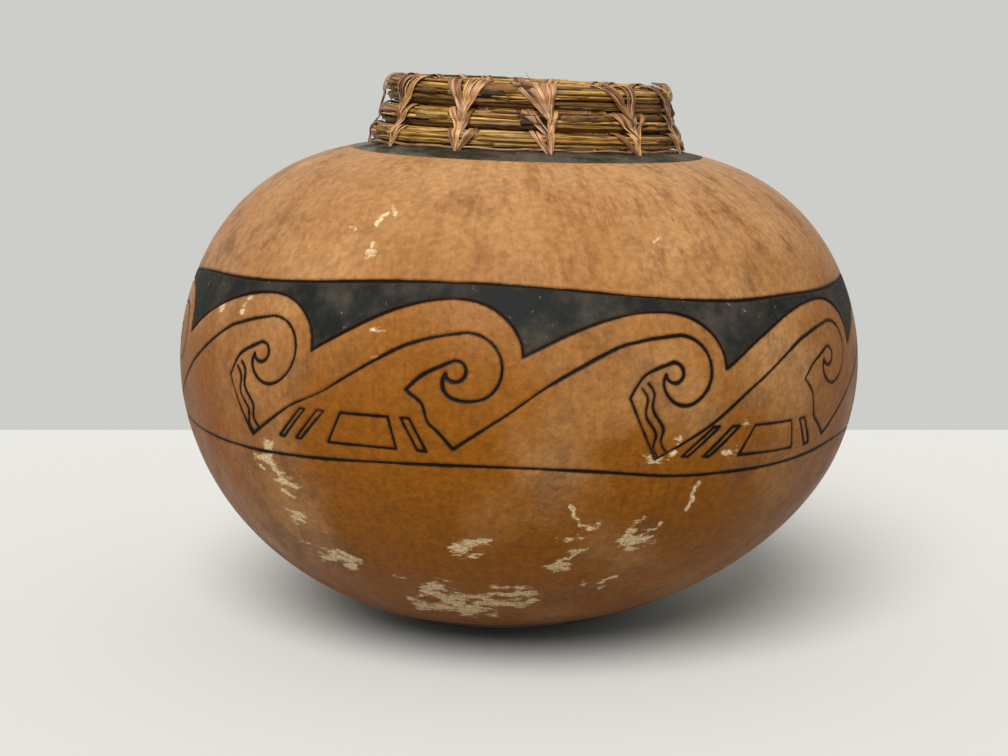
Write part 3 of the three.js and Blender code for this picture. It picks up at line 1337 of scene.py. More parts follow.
    def sheath(self, sheath: Sheath) -> Needle:
        """Lay a papery sheath on a bundle's outside.

        Args:
            sheath: Where it lies.

        Returns:
            The sheath as a needle that is all sheath.
        """
        radius = self.rows[sheath.row].thickness / 2
        return Needle(
            start=self.angle(sheath.row, sheath.azimuth) - sheath.length / 2 / self.mean_rho,
            length=sheath.length,
            lane=math.radians(sheath.lane),
            reach=1.0 - self.sheath_bedding * sheath.radius / radius,
            radius=sheath.radius,
            tone=sheath.tone,
            sheath=2 * sheath.length,
            phase=sheath.azimuth,
        )

    def fibres(self) -> list[Needle]:
        """Choose how the fine fibres of every frayed end lie, and one loose hair on top.

        Returns:
            The fibres and the hair.
        """
        draw = random.Random(self.seed + 1)
        laid = []
        for fray in FRAYED_ENDS:
            for _ in range(fray.fibres):
                laid.append(
                    Needle(
                        start=self.angle(fray.row, fray.azimuth) + draw.uniform(-0.05, 0.02),
                        length=draw.uniform(2.0, 5.0),
                        lane=math.radians(fray.lane) + draw.gauss(0.0, 0.22),
                        reach=draw.uniform(0.86, 1.0),
                        radius=draw.uniform(0.08, 0.17),
                        tone=min(max(fray.tone + draw.uniform(-0.1, 0.25), 0.0), 1.0),
                        twist=draw.uniform(-0.5, 0.5),
                        flare=draw.uniform(-0.5, 1.1),
                    )
                )
        # The hair runs back along the coil, so its sheath is set past its end, where none of it shows
        hair = Needle(
            start=self.angle(2, 1.5),
            length=-3.6,
            lane=1.35,
            reach=0.97,
            radius=0.15,
            tone=0.0,
            sheath=-9.0,
            twist=0.35,
            flare=4.4,
        )
        return [*laid, hair]

    def build(self) -> bpy.types.Object:
        """Model the coil.

        Returns:
            The coil's object.
        """
        master = self.master(self.stations, self.section)
        fine = self.master(self.fine_stations, self.fine_section)
        laid = [self.lay(master, needle) for needle in self.plan()]
        laid += [self.lay(fine, fibre) for fibre in self.fibres()]
        for unused in (master, fine):
            bpy.data.objects.remove(unused)
        coil = join_all(laid, "needle_rim")
        face_outwards(coil)
        shade_smooth(coil, 70.0)
        return coil

    def dress(self, coil: bpy.types.Object) -> None:
        """Give the needles their finish and stand them in for the coil's solid.

        Args:
            coil: The object to dress.
        """
        coil.data.materials.append(NeedleFinish().make())
        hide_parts("needle_coil")
        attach(coil, "root")


@dataclass(frozen=True)
class Arm:
    """One arm of a stitch: how far it leans at the top, half its fan's width there, and its strands."""

    lean: float
    fan: float
    strands: int


# Arms of the stitches that show best, by azimuth, for each row from the lowest
SEEN_ARMS: dict[float, tuple[tuple[Arm, ...], ...]] = {
    -56: (
        (Arm(3.0, 1.2, 3), Arm(-0.6, 0.4, 1)),
        (Arm(-1.2, 0.9, 2), Arm(4.6, 1.1, 3)),
        (Arm(-4.2, 1.6, 4), Arm(0.2, 0.8, 2), Arm(5.6, 0.9, 3)),
    ),
    -25: (
        (Arm(-1.9, 0.8, 3), Arm(0.4, 0.4, 1), Arm(5.0, 1.0, 3)),
        (Arm(-3.6, 1.0, 4), Arm(1.9, 0.9, 3)),
        (Arm(-5.0, 1.6, 4), Arm(1.2, 1.2, 3), Arm(5.4, 1.0, 3)),
    ),
    7: (
        (Arm(-5.2, 0.7, 3), Arm(-0.3, 0.8, 3)),
        (Arm(-7.6, 1.3, 4), Arm(1.5, 1.1, 4)),
        (Arm(-6.6, 4.3, 11), Arm(0.1, 1.2, 4)),
    ),
    41: (
        (Arm(-8.0, 0.9, 3), Arm(-1.0, 0.6, 2)),
        (Arm(-5.2, 2.2, 6), Arm(0.1, 1.0, 3), Arm(6.0, 0.6, 2)),
        (Arm(-8.6, 1.8, 5), Arm(0.0, 1.4, 5)),
    ),
    70: (
        (Arm(-7.0, 1.0, 3), Arm(-2.6, 0.8, 3)),
        (Arm(-5.0, 0.9, 3), Arm(1.8, 0.8, 3)),
        (Arm(-7.0, 2.4, 6), Arm(1.6, 1.2, 4)),
    ),
}


@dataclass
class RaffiaLashing:
    """Raffia stitches of slanted arms of split strands, with the strand that runs along the lip."""

    coil: NeedleCoil = field(default_factory=NeedleCoil)
    azimuths: tuple[float, ...] = (-88, -56, -25, 7, 41, 70, 117, 147, 177, 208, 240)
    left_leans: tuple[float, ...] = (-5.5, -6.0, -8.0)
    right_leans: tuple[float, ...] = (2.0, 2.0, 2.5)
    foot_turns: tuple[float, ...] = (0.0, 0.3, 0.08)
    strand_half: float = 0.62
    tip_half: float = 0.36
    thickness: float = 0.2
    gap: float = 0.08
    layer: float = 0.34
    hole_gap: float = 0.78
    lip_gap: float = 1.2
    sink: float = 1.0
    under_gaps: Pair = (1.4, 0.6)
    tuck: float = 0.4
    loop_turns: Pair = (-0.35, math.pi + 0.6)
    loop_points: int = 44
    rises: Pair = (0.85, 1.3)
    wander: float = 0.45
    root_fan: float = 0.3
    half_shares: Pair = (0.6, 1.25)
    widening: float = 0.7
    flutter: float = 0.1
    flutter_paces: Pair = (0.5, 0.9)
    roll: float = 0.45
    curls: Pair = (-0.2, 0.35)
    lane_shake: float = 0.2
    runner_halves: Pair = (0.26, 0.42)
    runner_depth: float = 0.2
    runner_sway: float = 0.22
    runner_pace: float = 0.35
    runner_inset: float = 0.5
    runner_rise: float = 0.9
    runner_overlap: float = 1.0
    stations: int = 40
    section: int = 6
    runner_stations: int = 24
    seed: int = 33

    def hole_rho(self) -> float:
        """Distance of the stitch holes from the rim's axis."""
        return self.coil.rows[0].outer_radius + self.hole_gap

    def holes(self) -> Array:
        """Rows of rho and azimuth in radians of the stitch holes."""
        return np.array([(self.hole_rho(), math.radians(azimuth)) for azimuth in self.azimuths])

    def loop(self, row: int) -> Array:
        """Draw the middle line of a stitch's loop round a row.

        Args:
            row: The coil's row.

        Returns:
            Rows of rho and w from the loop's foot.
        """
        rho, w, radius = self.coil.bundle(row)
        reach = radius + self.gap
        turn = np.linspace(*self.loop_turns, self.loop_points)
        over = np.stack([rho + reach * np.cos(turn), w + reach * np.sin(turn)], axis=-1)
        if row > 0:
            under_rho, under_w, under_radius = self.coil.bundle(row - 1)
            foot_turn, foot_reach = self.foot_turns[row], under_radius + self.gap
            foot_rho = under_rho + foot_reach * math.cos(foot_turn)
            foot_w = under_w + foot_reach * math.sin(foot_turn)
            return np.vstack([[(foot_rho, foot_w)], over, [(rho - self.tuck * radius, w - radius)]])
        form = self.coil.rim.form
        lip, hole = form.crown_level(form.mouth_radius), self.hole_rho()
        inside = form.mouth_radius - self.lip_gap
        low, high = self.under_gaps
        under = [
            (inside, -self.sink),
            (inside, form.crown_level(form.mouth_radius, form.wall) - lip - self.lip_gap),
            (hole - self.sink, form.crown_level(hole, form.wall) - lip - low),
            (hole, form.crown_level(hole, form.wall) - lip - high),
        ]
        return np.vstack([[(hole, form.crown_level(hole) - lip - self.sink)], over, under])

    def master(self) -> bpy.types.Object:
        """Model one closed strand as a ring of even stations and sections.

        Returns:
            The ring's object.
        """
        deselect_all()
        bpy.ops.mesh.primitive_torus_add(
            major_segments=self.stations, minor_segments=self.section, major_radius=4.0, minor_radius=1.0
        )
        return bpy.context.active_object

    def strand(
        self, master: bpy.types.Object, draw: random.Random, row: int, azimuth: float, arm: Arm, lane: float
    ) -> bpy.types.Object:
        """Lay one split strand of a stitch's arm round a row.

        Args:
            master: The closed strand.
            draw: Seeded draws.
            row: The coil's row.
            azimuth: The stitch's azimuth in degrees.
            arm: The arm that it is part of.
            lane: The strand's place in its arm, from -1 to 1.

        Returns:
            The laid strand.
        """
        copy = copy_of(master, "strand")
        line = self.loop(row)
        closed = np.vstack([line, line[:1]])
        run = run_along(closed)
        at = np.linspace(0.0, run[-1], self.stations + 1)[:-1]
        middle = np.stack([np.interp(at, run, closed[:, i]) for i in (0, 1)], axis=-1)
        ahead = np.roll(middle, -1, axis=0) - np.roll(middle, 1, axis=0)
        ahead /= np.linalg.norm(ahead, axis=1)[:, None]
        out = np.stack([ahead[:, 1], -ahead[:, 0]], axis=-1)
        low = middle[0, 1]
        share = np.clip((middle[:, 1] - low) / (middle[:, 1].max() - low), 0.0, 1.0)
        share = share ** draw.uniform(*self.rises)
        wave = at / run[-1] * TURN
        wander = draw.uniform(-self.wander, self.wander) * np.sin(wave + draw.uniform(0, TURN)) * share
        slant = arm.lean * share + lane * (self.root_fan + arm.fan * share) + wander
        widest = self.strand_half * draw.uniform(*self.half_shares)
        half = self.tip_half + (widest - self.tip_half) * share**self.widening
        lift = draw.uniform(0.0, self.layer)
        pace = draw.uniform(*self.flutter_paces)
        lift = lift + self.flutter * np.sin(at * pace + draw.uniform(0, TURN))
        roll = draw.uniform(-self.roll, self.roll) * np.sin(2 * wave + draw.uniform(0, TURN))
        curl = draw.uniform(*self.curls)
        station = np.repeat(np.arange(self.stations), self.section)
        turn = np.tile(np.arange(self.section) / self.section * TURN, self.stations)
        wide = half[station] * np.cos(turn)
        high = self.thickness / 2 * (1 + np.sin(turn)) + curl * wide**2 + wide * roll[station]
        high = high + np.maximum(lift, 0.0)[station]
        place = middle[station] + out[station] * high[:, None]
        offset = (slant[station] + wide) / middle[station, 0]
        places = self.coil.rim.to_world(place[:, 0], math.radians(azimuth) + offset, place[:, 1])
        place_corners(copy, places * MM)
        self.mark(copy, draw, at[station], wide)
        return copy

    def mark(self, strand: bpy.types.Object, draw: random.Random, run: Array, across: Array) -> None:
        """Keep a strand's shade, and each point's place along and across it.

        Args:
            strand: The strand's object.
            draw: Seeded draws.
            run: Places along it.
            across: Places across it.
        """
        store(strand, "tone", np.full(len(run), draw.random()))
        store(strand, "run", run)
        store(strand, "across", across)

    def runner(
        self, master: bpy.types.Object, draw: random.Random, rho: float, w: float, start: float, end: float
    ) -> bpy.types.Object:
        """Lay a strand that runs along the lip.

        Args:
            master: A straight needle.
            draw: Seeded draws.
            rho: Its distance from the rim's axis.
            w: Its height above the lip.
            start: Its first azimuth in degrees.
            end: Its last azimuth in degrees.

        Returns:
            The laid strand.
        """
        copy = copy_of(master, "runner")
        along, turn, size = unrolled(copy)
        azimuth = np.radians(start + (end - start) * along)
        length = math.radians(end - start) * rho
        sway = self.runner_sway * np.sin(along * length * self.runner_pace + draw.uniform(0, TURN))
        half = draw.uniform(*self.runner_halves) * size
        places = self.coil.rim.to_world(
            rho + self.runner_depth * size * np.cos(turn) + sway, azimuth, w + half * np.sin(turn) + sway
        )
        place_corners(copy, places * MM)
        self.mark(copy, draw, along * length, half * np.sin(turn))
        return copy

    def arms(self, draw: random.Random, azimuth: float, row: int) -> tuple[Arm, ...]:
        """Choose the arms of one stitch round a row: as seen, or else drawn.

        Args:
            draw: Seeded draws.
            azimuth: The stitch's azimuth in degrees.
            row: The coil's row.

        Returns:
            The arms.
        """
        if azimuth in SEEN_ARMS:
            return SEEN_ARMS[azimuth][row]
        left, right = self.left_leans[row], self.right_leans[row]
        return (
            Arm(lean=left + draw.uniform(-2, 2), fan=draw.uniform(0.8, 2.4), strands=draw.randint(3, 5)),
            Arm(lean=right + draw.uniform(-2, 3), fan=draw.uniform(0.7, 1.3), strands=draw.randint(3, 4)),
        )

    def build(self) -> bpy.types.Object:
        """Model the lashing.

        Returns:
            The lashing's object.
        """
        draw = random.Random(self.seed)
        master, straight = self.master(), self.coil.master(self.runner_stations, self.section)
        laid = []
        for azimuth in self.azimuths:
            for row in range(len(self.coil.rows)):
                for arm in self.arms(draw, azimuth, row):
                    for lane in np.linspace(-1.0, 1.0, arm.strands) if arm.strands > 1 else (0.0,):
                        shaken = lane + draw.uniform(-self.lane_shake, self.lane_shake)
                        laid.append(self.strand(master, draw, row, azimuth, arm, shaken))
        ends = [*self.azimuths[1:], self.azimuths[0] + 360]
        form = self.coil.rim.form
        rho = self.hole_rho() - self.runner_inset
        foot = form.crown_level(self.hole_rho()) - form.crown_level(form.mouth_radius) + self.runner_rise
        for start, end in zip(self.azimuths, ends):
            first, last = start - self.runner_overlap, end + self.runner_overlap
            laid.append(self.runner(straight, draw, rho, foot, first, last))
        for unused in (master, straight):
            bpy.data.objects.remove(unused)
        lashing = join_all(laid, "raffia_stitches")
        face_outwards(lashing)
        shade_smooth(lashing, 60.0)
        return lashing

    def dress(self, lashing: bpy.types.Object) -> None:
        """Give the raffia its finish and stand it in for its solid.

        Args:
            lashing: The object to dress.
        """
        lashing.data.materials.append(RaffiaFinish().make())
        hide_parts("raffia_lashing")
        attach(lashing, "root")


# Finishes


@dataclass(frozen=True)
class GourdSkin:
    """Dried gourd, scraped and waxed: a satin skin, amber below and tan above, with mottled browns.

    The band's sky and the lip's ring are burnt and stained charcoal, the lines are scorched grooves,
    and the skin has flaked off in pale chalky scuffs. Levels, the girth, and the limits of side and height
    are metres, in which a shader reads places.
    """

    tan: str = "#987048"
    amber: str = "#6e400b"
    blush: str = "#74411c"
    smear: str = "#663a1b"
    smudge: str = "#4f3c2d"
    blotch: str = "#5f3614"
    pale: str = "#aa8358"
    charcoal: str = "#181918"
    bloom: str = "#403a31"
    ring: str = "#2c2418"
    fleck: str = "#7d7666"
    line: str = "#0e0a07"
    scorch: str = "#3a200d"
    chalk: str = "#c3b08e"
    dust: str = "#a18660"
    inside: str = "#5d482f"
    level_low: float = 0.075
    level_high: float = 0.165
    level_drift: float = 0.07
    rib_girth: float = 0.115
    rib_stretch: float = 0.13
    smear_pull: float = 0.42
    flake_flattening: float = 2.8
    flake_pull: float = 0.45
    crack_fraying: float = -3.2
    line_speckle: float = 0.3
    line_waver: float = 0.8
    line_narrowing: float = -0.56
    ring_fraying: float = 1.4
    matt_rise: float = 0.22
    pit_slope: float = -1.2
    pit_edge: float = 0.2
    peel_loss: float = -0.7
    relief_strength: float = 0.7
    relief_mm: float = 0.4
    ior: float = 1.16
    specular: float = 0.35

    def patterns(self, tree: bpy.types.NodeTree) -> dict[str, Socket]:
        """Set out what the skin's colours depend on.

        Args:
            tree: The material's node tree.

        Returns:
            What the mesh keeps, the place to the side and up, and the noise of each pattern, by name.
        """
        node = partial(add_node, tree)
        found = {
            name: node("ShaderNodeAttribute", attribute_name=name).outputs["Fac"]
            for name in ("line", "sky", "ring", "scuff", "crack", "inside")
        }
        place = node("ShaderNodeTexCoord").outputs["Object"]
        axes = node("ShaderNodeSeparateXYZ", {0: place}).outputs
        found.update(side=axes["X"], height=axes["Z"])

        # Directions of the patterns: along the gourd's ribs, drawn out along them, and level
        directions = {"place": place}
        for name, operation, *terms in (
            ("flat", "MULTIPLY", "place", (1.0, 1.0, 0.0)),
            ("outward", "NORMALIZE", "flat"),
            ("tall", "MULTIPLY", "place", (0.0, 0.0, self.rib_stretch)),
            ("ribs", "MULTIPLY_ADD", "outward", (self.rib_girth, self.rib_girth, 0.0), "tall"),
            ("drawn", "MULTIPLY_ADD", "place", (self.smear_pull,) * 3, "ribs"),
            ("level", "MULTIPLY", "place", (1.0, 1.0, self.flake_flattening)),
        ):
            inputs = {i: directions.get(term, term) for i, term in enumerate(terms)}
            directions[name] = node("ShaderNodeVectorMath", inputs, operation=operation).outputs[0]

        # Sizes of the patterns in millimetres, with their detail and roughness
        for name, direction, size, detail, rough in (
            ("drift", "place", 48.0, 3.0, 0.5),
            ("mottle", "place", 15.0, 8.0, 0.68),
            ("fleck", "place", 2.2, 3.0, 0.6),
            ("peel", "place", 1.3, 2.0, 0.5),
            ("grit", "place", 0.7, 2.0, 0.5),
            ("flake", "level", 6.0, 8.0, 0.68),
            ("rib", "ribs", 1.5, 4.0, 0.6),
            ("smear", "drawn", 8.0, 8.0, 0.7),
            ("hand", "place", 22.0, 1.0, 0.5),
        ):
            inputs = {"Vector": directions[direction], "Scale": per_metre(size)}
            inputs |= {"Detail": detail, "Roughness": rough}
            found[name] = node("ShaderNodeTexNoise", inputs).outputs["Fac"]

        # Values that a pattern shifts, frays or narrows
        for name, operation, *terms in (
            ("shifted", "MULTIPLY_ADD", "drift", self.level_drift, "height"),
            ("flaked", "MULTIPLY_ADD", "scuff", self.flake_pull, "flake"),
            ("cracked", "MULTIPLY_ADD", "flake", self.crack_fraying, "crack"),
            ("speckled", "MULTIPLY_ADD", "fleck", self.line_speckle, self.line_narrowing),
            ("wavering", "MULTIPLY_ADD", "hand", self.line_waver, "speckled"),
            ("uneven", "ADD", "line", "wavering"),
            ("ragged", "MULTIPLY_ADD", "fleck", self.ring_fraying, "ring"),
            ("frayed", "ADD", "ragged", -self.ring_fraying / 2),
            ("stained", "MAXIMUM", "sky", "frayed"),
            ("clouded", "MULTIPLY", "drift", "mottle"),
        ):
            inputs = {i: found.get(term, term) for i, term in enumerate(terms)}
            found[name] = node("ShaderNodeMath", inputs, operation=operation).outputs[0]
        return found

    def shares(self, tree: bpy.types.NodeTree, found: dict[str, Socket]) -> dict[str, Socket]:
        """Work out how much of each colour shows, and the gloss.

        Args:
            tree: The material's node tree.
            found: What the colours depend on, by name.

        Returns:
            The shares, by name.
        """
        node = partial(add_node, tree)
        share = {"inside": found["inside"]}
        rise = self.level_drift / 2

        # Each share's value, the value's two limits, and the share at each of them
        for name, value, *limits in (
            ("high", "shifted", self.level_low + rise, self.level_high + rise, 0.0, 1.0),
            ("crown", "height", 0.11, 0.135, 0.0, 1.0),
            ("left", "side", -0.005, -0.11, 0.0, 0.32),
            ("patch", "mottle", 0.5, 0.74, 0.0, 0.5),
            ("pale", "drift", 0.5, 0.75, 0.0, 0.32),
            ("smudge", "clouded", 0.27, 0.42, 0.0, 0.35),
            ("smeared", "smear", 0.48, 0.68, 0.0, 0.7),
            ("right", "side", -0.03, 0.05, 0.35, 1.0),
            ("speck", "fleck", 0.3, 0.7, 0.84, 1.14),
            ("rib", "rib", 0.3, 0.7, 0.94, 1.05),
            ("scuff", "flaked", 0.82, 0.92, 0.0, 0.85),
            ("crack", "cracked", -0.8, -1.3, 0.0, 0.9),
            ("grit", "grit", 0.35, 0.65, 0.0, 1.0),
            ("stain", "stained", -0.22, 0.22, 0.0, 1.0),
            ("bloom", "mottle", 0.4, 0.7, 0.0, 0.7),
            ("ringed", "ring", -0.5, 0.5, 0.0, 0.6),
            ("dot", "fleck", 0.66, 0.76, 0.0, 0.6),
            ("dusty", "side", -0.02, -0.05, 0.3, 1.0),
            ("cloud", "mottle", 0.35, 0.6, 0.0, 1.2),
            ("singe", "uneven", 0.35, 1.2, 0.5, 0.0),
            ("burnt", "uneven", 0.3, 0.55, 0.97, 0.0),
            ("gloss", "mottle", 0.3, 0.7, 0.33, 0.47),
        ):
            inputs = dict(zip(SPAN, (found[value], *limits)))
            share[name] = node("ShaderNodeMapRange", inputs, interpolation_type="SMOOTHSTEP").outputs[0]
        for name, operation, first, second in (
            ("worn", "MULTIPLY", "crown", "right"),
            ("smear", "MULTIPLY", "smeared", "worn"),
            ("chalk", "MAXIMUM", "scuff", "crack"),
            ("dusted", "MULTIPLY", "ringed", "dusty"),
            ("settled", "MULTIPLY", "dusted", "cloud"),
            ("matt", "MAXIMUM", "chalk", "stain"),
        ):
            inputs = {0: share[first], 1: share[second]}
            share[name] = node("ShaderNodeMath", inputs, operation=operation).outputs[0]
        return share

    def colour(self, tree: bpy.types.NodeTree, share: dict[str, Socket]) -> Socket:
        """Lay the skin's colours over one another, each by its share.

        Args:
            tree: The material's node tree.
            share: The shares, by name.

        Returns:
            The colour.
        """
        node = partial(add_node, tree)
        shade = {
            "skin": linear(self.amber),
            "chalk": linear(self.dust),
            "black": linear(self.charcoal),
            "scorch": linear(self.scorch),
            "line": linear(self.line),
            "inside": linear(self.inside),
        }
        for under, name, over in (
            ("skin", "high", self.tan),
            ("skin", "left", self.blush),
            ("skin", "pale", self.pale),
            ("skin", "patch", self.blotch),
            ("skin", "smear", self.smear),
            ("skin", "smudge", self.smudge),
            ("chalk", "grit", self.chalk),
            ("black", "bloom", self.bloom),
            ("black", "ringed", self.ring),
            ("black", "settled", self.fleck),
            ("black", "dot", self.fleck),
        ):
            inputs = {0: share[name], 6: shade[under], 7: linear(over)}
            shade[under] = node("ShaderNodeMix", inputs, data_type="RGBA").outputs[2]
        skin = shade["skin"]
        for name in ("speck", "rib"):
            inputs = {0: skin, "Scale": share[name]}
            skin = node("ShaderNodeVectorMath", inputs, operation="SCALE").outputs[0]
        for name, over in (
            ("chalk", "chalk"),
            ("stain", "black"),
            ("singe", "scorch"),
            ("burnt", "line"),
            ("inside", "inside"),
        ):
            inputs = {0: share[name], 6: skin, 7: shade[over]}
            skin = node("ShaderNodeMix", inputs, data_type="RGBA").outputs[2]
        return skin

    def make(self) -> bpy.types.Material:
        """Make the material.

        Returns:
            The material.
        """
        material, tree, shader = new_material("dried_gourd_skin")
        node = partial(add_node, tree)
        found = self.patterns(tree)
        share = self.shares(tree, found)

        # Gloss and relief: chalk and charcoal are matt, chalk is pitted, and charcoal has less of the peel
        surface = {"chalk": share["chalk"], "stain": share["stain"], "gloss": share["gloss"]}
        surface |= {"matt": share["matt"], "grit": found["grit"], "grain": found["peel"]}
        for name, operation, *terms in (
            ("rough", "MULTIPLY_ADD", "matt", self.matt_rise, "gloss"),
            ("pitted", "MULTIPLY_ADD", "grit", self.pit_slope, self.pit_edge),
            ("bare", "MULTIPLY_ADD", "stain", self.peel_loss, 1.0),
            ("peel", "MULTIPLY", "grain", "bare"),
            ("relief", "MULTIPLY_ADD", "chalk", "pitted", "peel"),
        ):
            inputs = {i: surface.get(term, term) for i, term in enumerate(terms)}
            surface[name] = node("ShaderNodeMath", inputs, operation=operation).outputs[0]
        inputs = {"Height": surface["relief"], "Strength": self.relief_strength}
        inputs |= {"Distance": self.relief_mm * MM}
        finish = {
            "Base Color": self.colour(tree, share),
            "Roughness": surface["rough"],
            "Normal": node("ShaderNodeBump", inputs).outputs[0],
            "IOR": self.ior,
            "Specular IOR Level": self.specular,
        }
        fill(tree, shader, finish)
        return material


@dataclass(frozen=True)
class NeedleFinish:
    """Dried pine needles: satin, golden olive to brown, with fine darker lines along them.

    Their sheaths are papery, from near black to pale straw.
    """

    hues: tuple[tuple[float, str], ...] = (
        (0.0, "#1a0f06"),
        (0.2, "#4e3013"),
        (0.38, "#94692a"),
        (0.58, "#6c4b1a"),
        (0.8, "#bd9350"),
        (1.0, "#8f6530"),
    )
    papers: tuple[tuple[float, str], ...] = (
        (0.0, "#1d1811"),
        (0.15, "#3a2c1d"),
        (0.5, "#6e4f2a"),
        (1.0, "#967c46"),
    )
    streak: str = "#2c1a0a"
    line_mm: float = 0.4
    line_pull: float = 0.06
    line_detail: float = 4.0
    line_limits: tuple[float, ...] = (0.46, 0.62, 0.0, 0.92)
    tone_spread: float = 37.0
    speck_mm: float = 0.9
    speck_detail: float = 3.0
    speck_share: float = 0.5
    roughness: float = 0.42
    paper_matt: float = 0.35
    relief_strength: float = 0.5
    relief_mm: float = 0.3
    ior: float = 1.28

    def make(self) -> bpy.types.Material:
        """Make the material.

        Returns:
            The material.
        """
        material, tree, shader = new_material("dried_pine_needles")
        node = partial(add_node, tree)
        found = {
            name: node("ShaderNodeAttribute", attribute_name=name).outputs["Fac"]
            for name in ("tone", "run", "around", "sheath", "tip")
        }
        place = node("ShaderNodeTexCoord").outputs["Object"]
        inputs = {"Vector": place, "Scale": per_metre(self.speck_mm), "Detail": self.speck_detail}
        found["speck"] = node("ShaderNodeTexNoise", inputs).outputs["Fac"]
        for name, operation, *terms in (
            ("speckled", "MULTIPLY_ADD", "speck", self.speck_share, "tone"),
            ("paper", "SUBTRACT", "speckled", self.speck_share / 2),
            ("own", "MULTIPLY", "tone", self.tone_spread),
            ("slow", "MULTIPLY", "run", self.line_pull),
            ("rough", "MULTIPLY_ADD", "sheath", self.paper_matt, self.roughness),
        ):
            inputs = {i: found.get(term, term) for i, term in enumerate(terms)}
            found[name] = node("ShaderNodeMath", inputs, operation=operation).outputs[0]
        ramps = []
        for stops, tone in ((self.hues, "tone"), (self.papers, "paper")):
            ramp = node("ShaderNodeValToRGB", {0: found[tone]})
            for at, colour in stops[1:-1]:
                ramp.color_ramp.elements.new(at).color = linear(colour)
            for end in (0, -1):
                ramp.color_ramp.elements[end].color = linear(stops[end][1])
            ramps.append(ramp.outputs[0])
        inputs = {0: found["slow"], 1: found["around"], 2: found["own"]}
        grain_at = node("ShaderNodeCombineXYZ", inputs).outputs[0]
        inputs = {"Vector": grain_at, "Scale": 1.0 / self.line_mm, "Detail": self.line_detail}
        grain = node("ShaderNodeTexNoise", inputs).outputs["Fac"]
        dark = node("ShaderNodeMapRange", dict(zip(SPAN, (grain, *self.line_limits)))).outputs[0]
        streak = linear(self.streak)
        colour = ramps[0]
        for amount, over in ((found["sheath"], ramps[1]), (dark, streak), (found["tip"], streak)):
            colour = node("ShaderNodeMix", {0: amount, 6: colour, 7: over}, data_type="RGBA").outputs[2]
        inputs = {"Height": grain, "Strength": self.relief_strength, "Distance": self.relief_mm * MM}
        finish = {
            "Base Color": colour,
            "Roughness": found["rough"],
            "Normal": node("ShaderNodeBump", inputs).outputs[0],
            "IOR": self.ior,
        }
        fill(tree, shader, finish)
        return material


@dataclass(frozen=True)
class RaffiaFinish:
    """Split raffia palm leaf: dry, orange tan to brown, with long fibres that catch the light."""

    hues: tuple[str, str] = ("#6a3d1b", "#c59359")
    brown: str = "#391706"
    fibre_mm: float = 0.24
    fibre_pull: float = 0.05
    fibre_detail: float = 4.0
    fibre_limits: tuple[float, ...] = (0.43, 0.62, 0.0, 0.95)
    tone_spread: float = 53.0
    roughness: float = 0.5
    relief_strength: float = 0.6
    relief_mm: float = 0.3

    def make(self) -> bpy.types.Material:
        """Make the material.

        Returns:
            The material.
        """
        material, tree, shader = new_material("split_raffia")
        node = partial(add_node, tree)
        found = {
            name: node("ShaderNodeAttribute", attribute_name=name).outputs["Fac"]
            for name in ("tone", "run", "across")
        }
        for name, term, factor in (("own", "tone", self.tone_spread), ("slow", "run", self.fibre_pull)):
            inputs = {0: found[term], 1: factor}
            found[name] = node("ShaderNodeMath", inputs, operation="MULTIPLY").outputs[0]
        inputs = {0: found["slow"], 1: found["across"], 2: found["own"]}
        fibre_at = node("ShaderNodeCombineXYZ", inputs).outputs[0]
        inputs = {"Vector": fibre_at, "Scale": 1.0 / self.fibre_mm, "Detail": self.fibre_detail}
        fibre = node("ShaderNodeTexNoise", inputs).outputs["Fac"]
        dark = node("ShaderNodeMapRange", dict(zip(SPAN, (fibre, *self.fibre_limits)))).outputs[0]
        colour = linear(self.hues[0])
        for amount, over in ((found["tone"], self.hues[1]), (dark, self.brown)):
            inputs = {0: amount, 6: colour, 7: linear(over)}
            colour = node("ShaderNodeMix", inputs, data_type="RGBA").outputs[2]
        inputs = {"Height": fibre, "Strength": self.relief_strength, "Distance": self.relief_mm * MM}
        finish = {
            "Base Color": colour,
            "Roughness": self.roughness,
            "Normal": node("ShaderNodeBump", inputs).outputs[0],
        }
        fill(tree, shader, finish)
        return material


@dataclass(frozen=True)
class FloorFinish:
    """Plain pale matt floor."""

    colour: str = "#b6b5b1"
    roughness: float = 0.9

    def make(self) -> bpy.types.Material:
        """Make the material.

        Returns:
            The material.
        """
        material, tree, shader = new_material("pale_floor")
        fill(tree, shader, {"Base Color": linear(self.colour), "Roughness": self.roughness})
        return material


# Studio


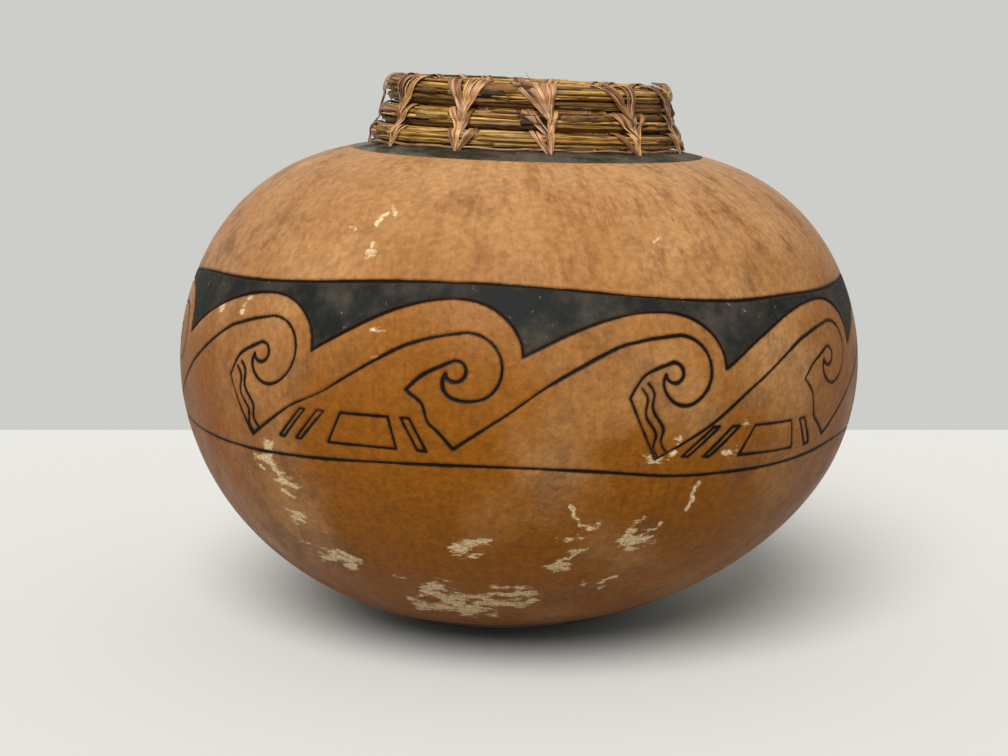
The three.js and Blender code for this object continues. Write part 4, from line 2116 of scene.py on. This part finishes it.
@dataclass
class Studio:
    """Pale floor that ends behind the vase, soft light from above and the photograph's camera."""

    camera_place: tuple[float, float, float] = (1.3, -529.65, 151.4)
    pitch_down: float = 7.51
    focal_pixels: float = 1540.0
    image_width: float = 1008.0
    sensor: float = 36.0
    floor_size: float = 6.0
    floor_far: float = 0.381
    overhead_place: tuple[float, float, float] = (0.0, -0.3, 1.5)
    overhead_turn: tuple[float, float, float] = (math.radians(44), math.radians(-12), 0.0)
    overhead_angle: float = math.radians(40)
    overhead_strength: float = 5.0
    room: str = "#cdcdca"

    def floor(self) -> None:
        """Lay the floor."""
        deselect_all()
        bpy.ops.mesh.primitive_plane_add(
            size=self.floor_size, location=(0.0, self.floor_far - self.floor_size / 2, 0.0)
        )
        bpy.ops.object.transform_apply(location=True)
        floor = bpy.context.active_object
        floor.name = "floor"
        floor.data.materials.append(FloorFinish().make())

    def lights(self) -> None:
        """Hang a wide soft light high in front, a little to the left, in a pale room."""
        deselect_all()
        bpy.ops.object.light_add(type="SUN", location=self.overhead_place, rotation=self.overhead_turn)
        overhead = bpy.context.active_object
        overhead.name = "overhead_sheet"
        overhead.data.angle = self.overhead_angle
        overhead.data.energy = self.overhead_strength
        world = bpy.data.worlds.new("pale_room")
        world.use_nodes = True
        world.node_tree.nodes["Background"].inputs["Color"].default_value = linear(self.room)
        bpy.context.scene.world = world
        bpy.context.scene.view_settings.view_transform = "Standard"

    def camera(self) -> None:
        """Set the camera as in the photograph."""
        deselect_all()
        bpy.ops.object.camera_add(
            location=[value * MM for value in self.camera_place],
            rotation=(math.radians(90 - self.pitch_down), 0.0, 0.0),
        )
        camera = bpy.context.active_object
        camera.name = "photo_camera"
        camera.data.sensor_width = self.sensor
        camera.data.lens = self.focal_pixels / self.image_width * self.sensor
        bpy.context.scene.camera = camera


def main() -> None:
    """Build the vase piece by piece, and the studio round it."""
    logging.basicConfig(level=logging.INFO, format="%(name)s: %(message)s")
    rim = RimFrame()
    gourd = Gourd()
    coil = NeedleCoil(rim=rim)
    lashing = RaffiaLashing(coil=coil)
    for builder, shape in (
        (gourd, gourd.build(rim, lashing.holes())),
        (coil, coil.build()),
        (lashing, lashing.build()),
    ):
        builder.dress(shape)
        LOG.info("%s has %d faces", shape.name, len(shape.data.polygons))
    studio = Studio()
    studio.floor()
    studio.lights()
    studio.camera()


if __name__ == "__main__":
    main()
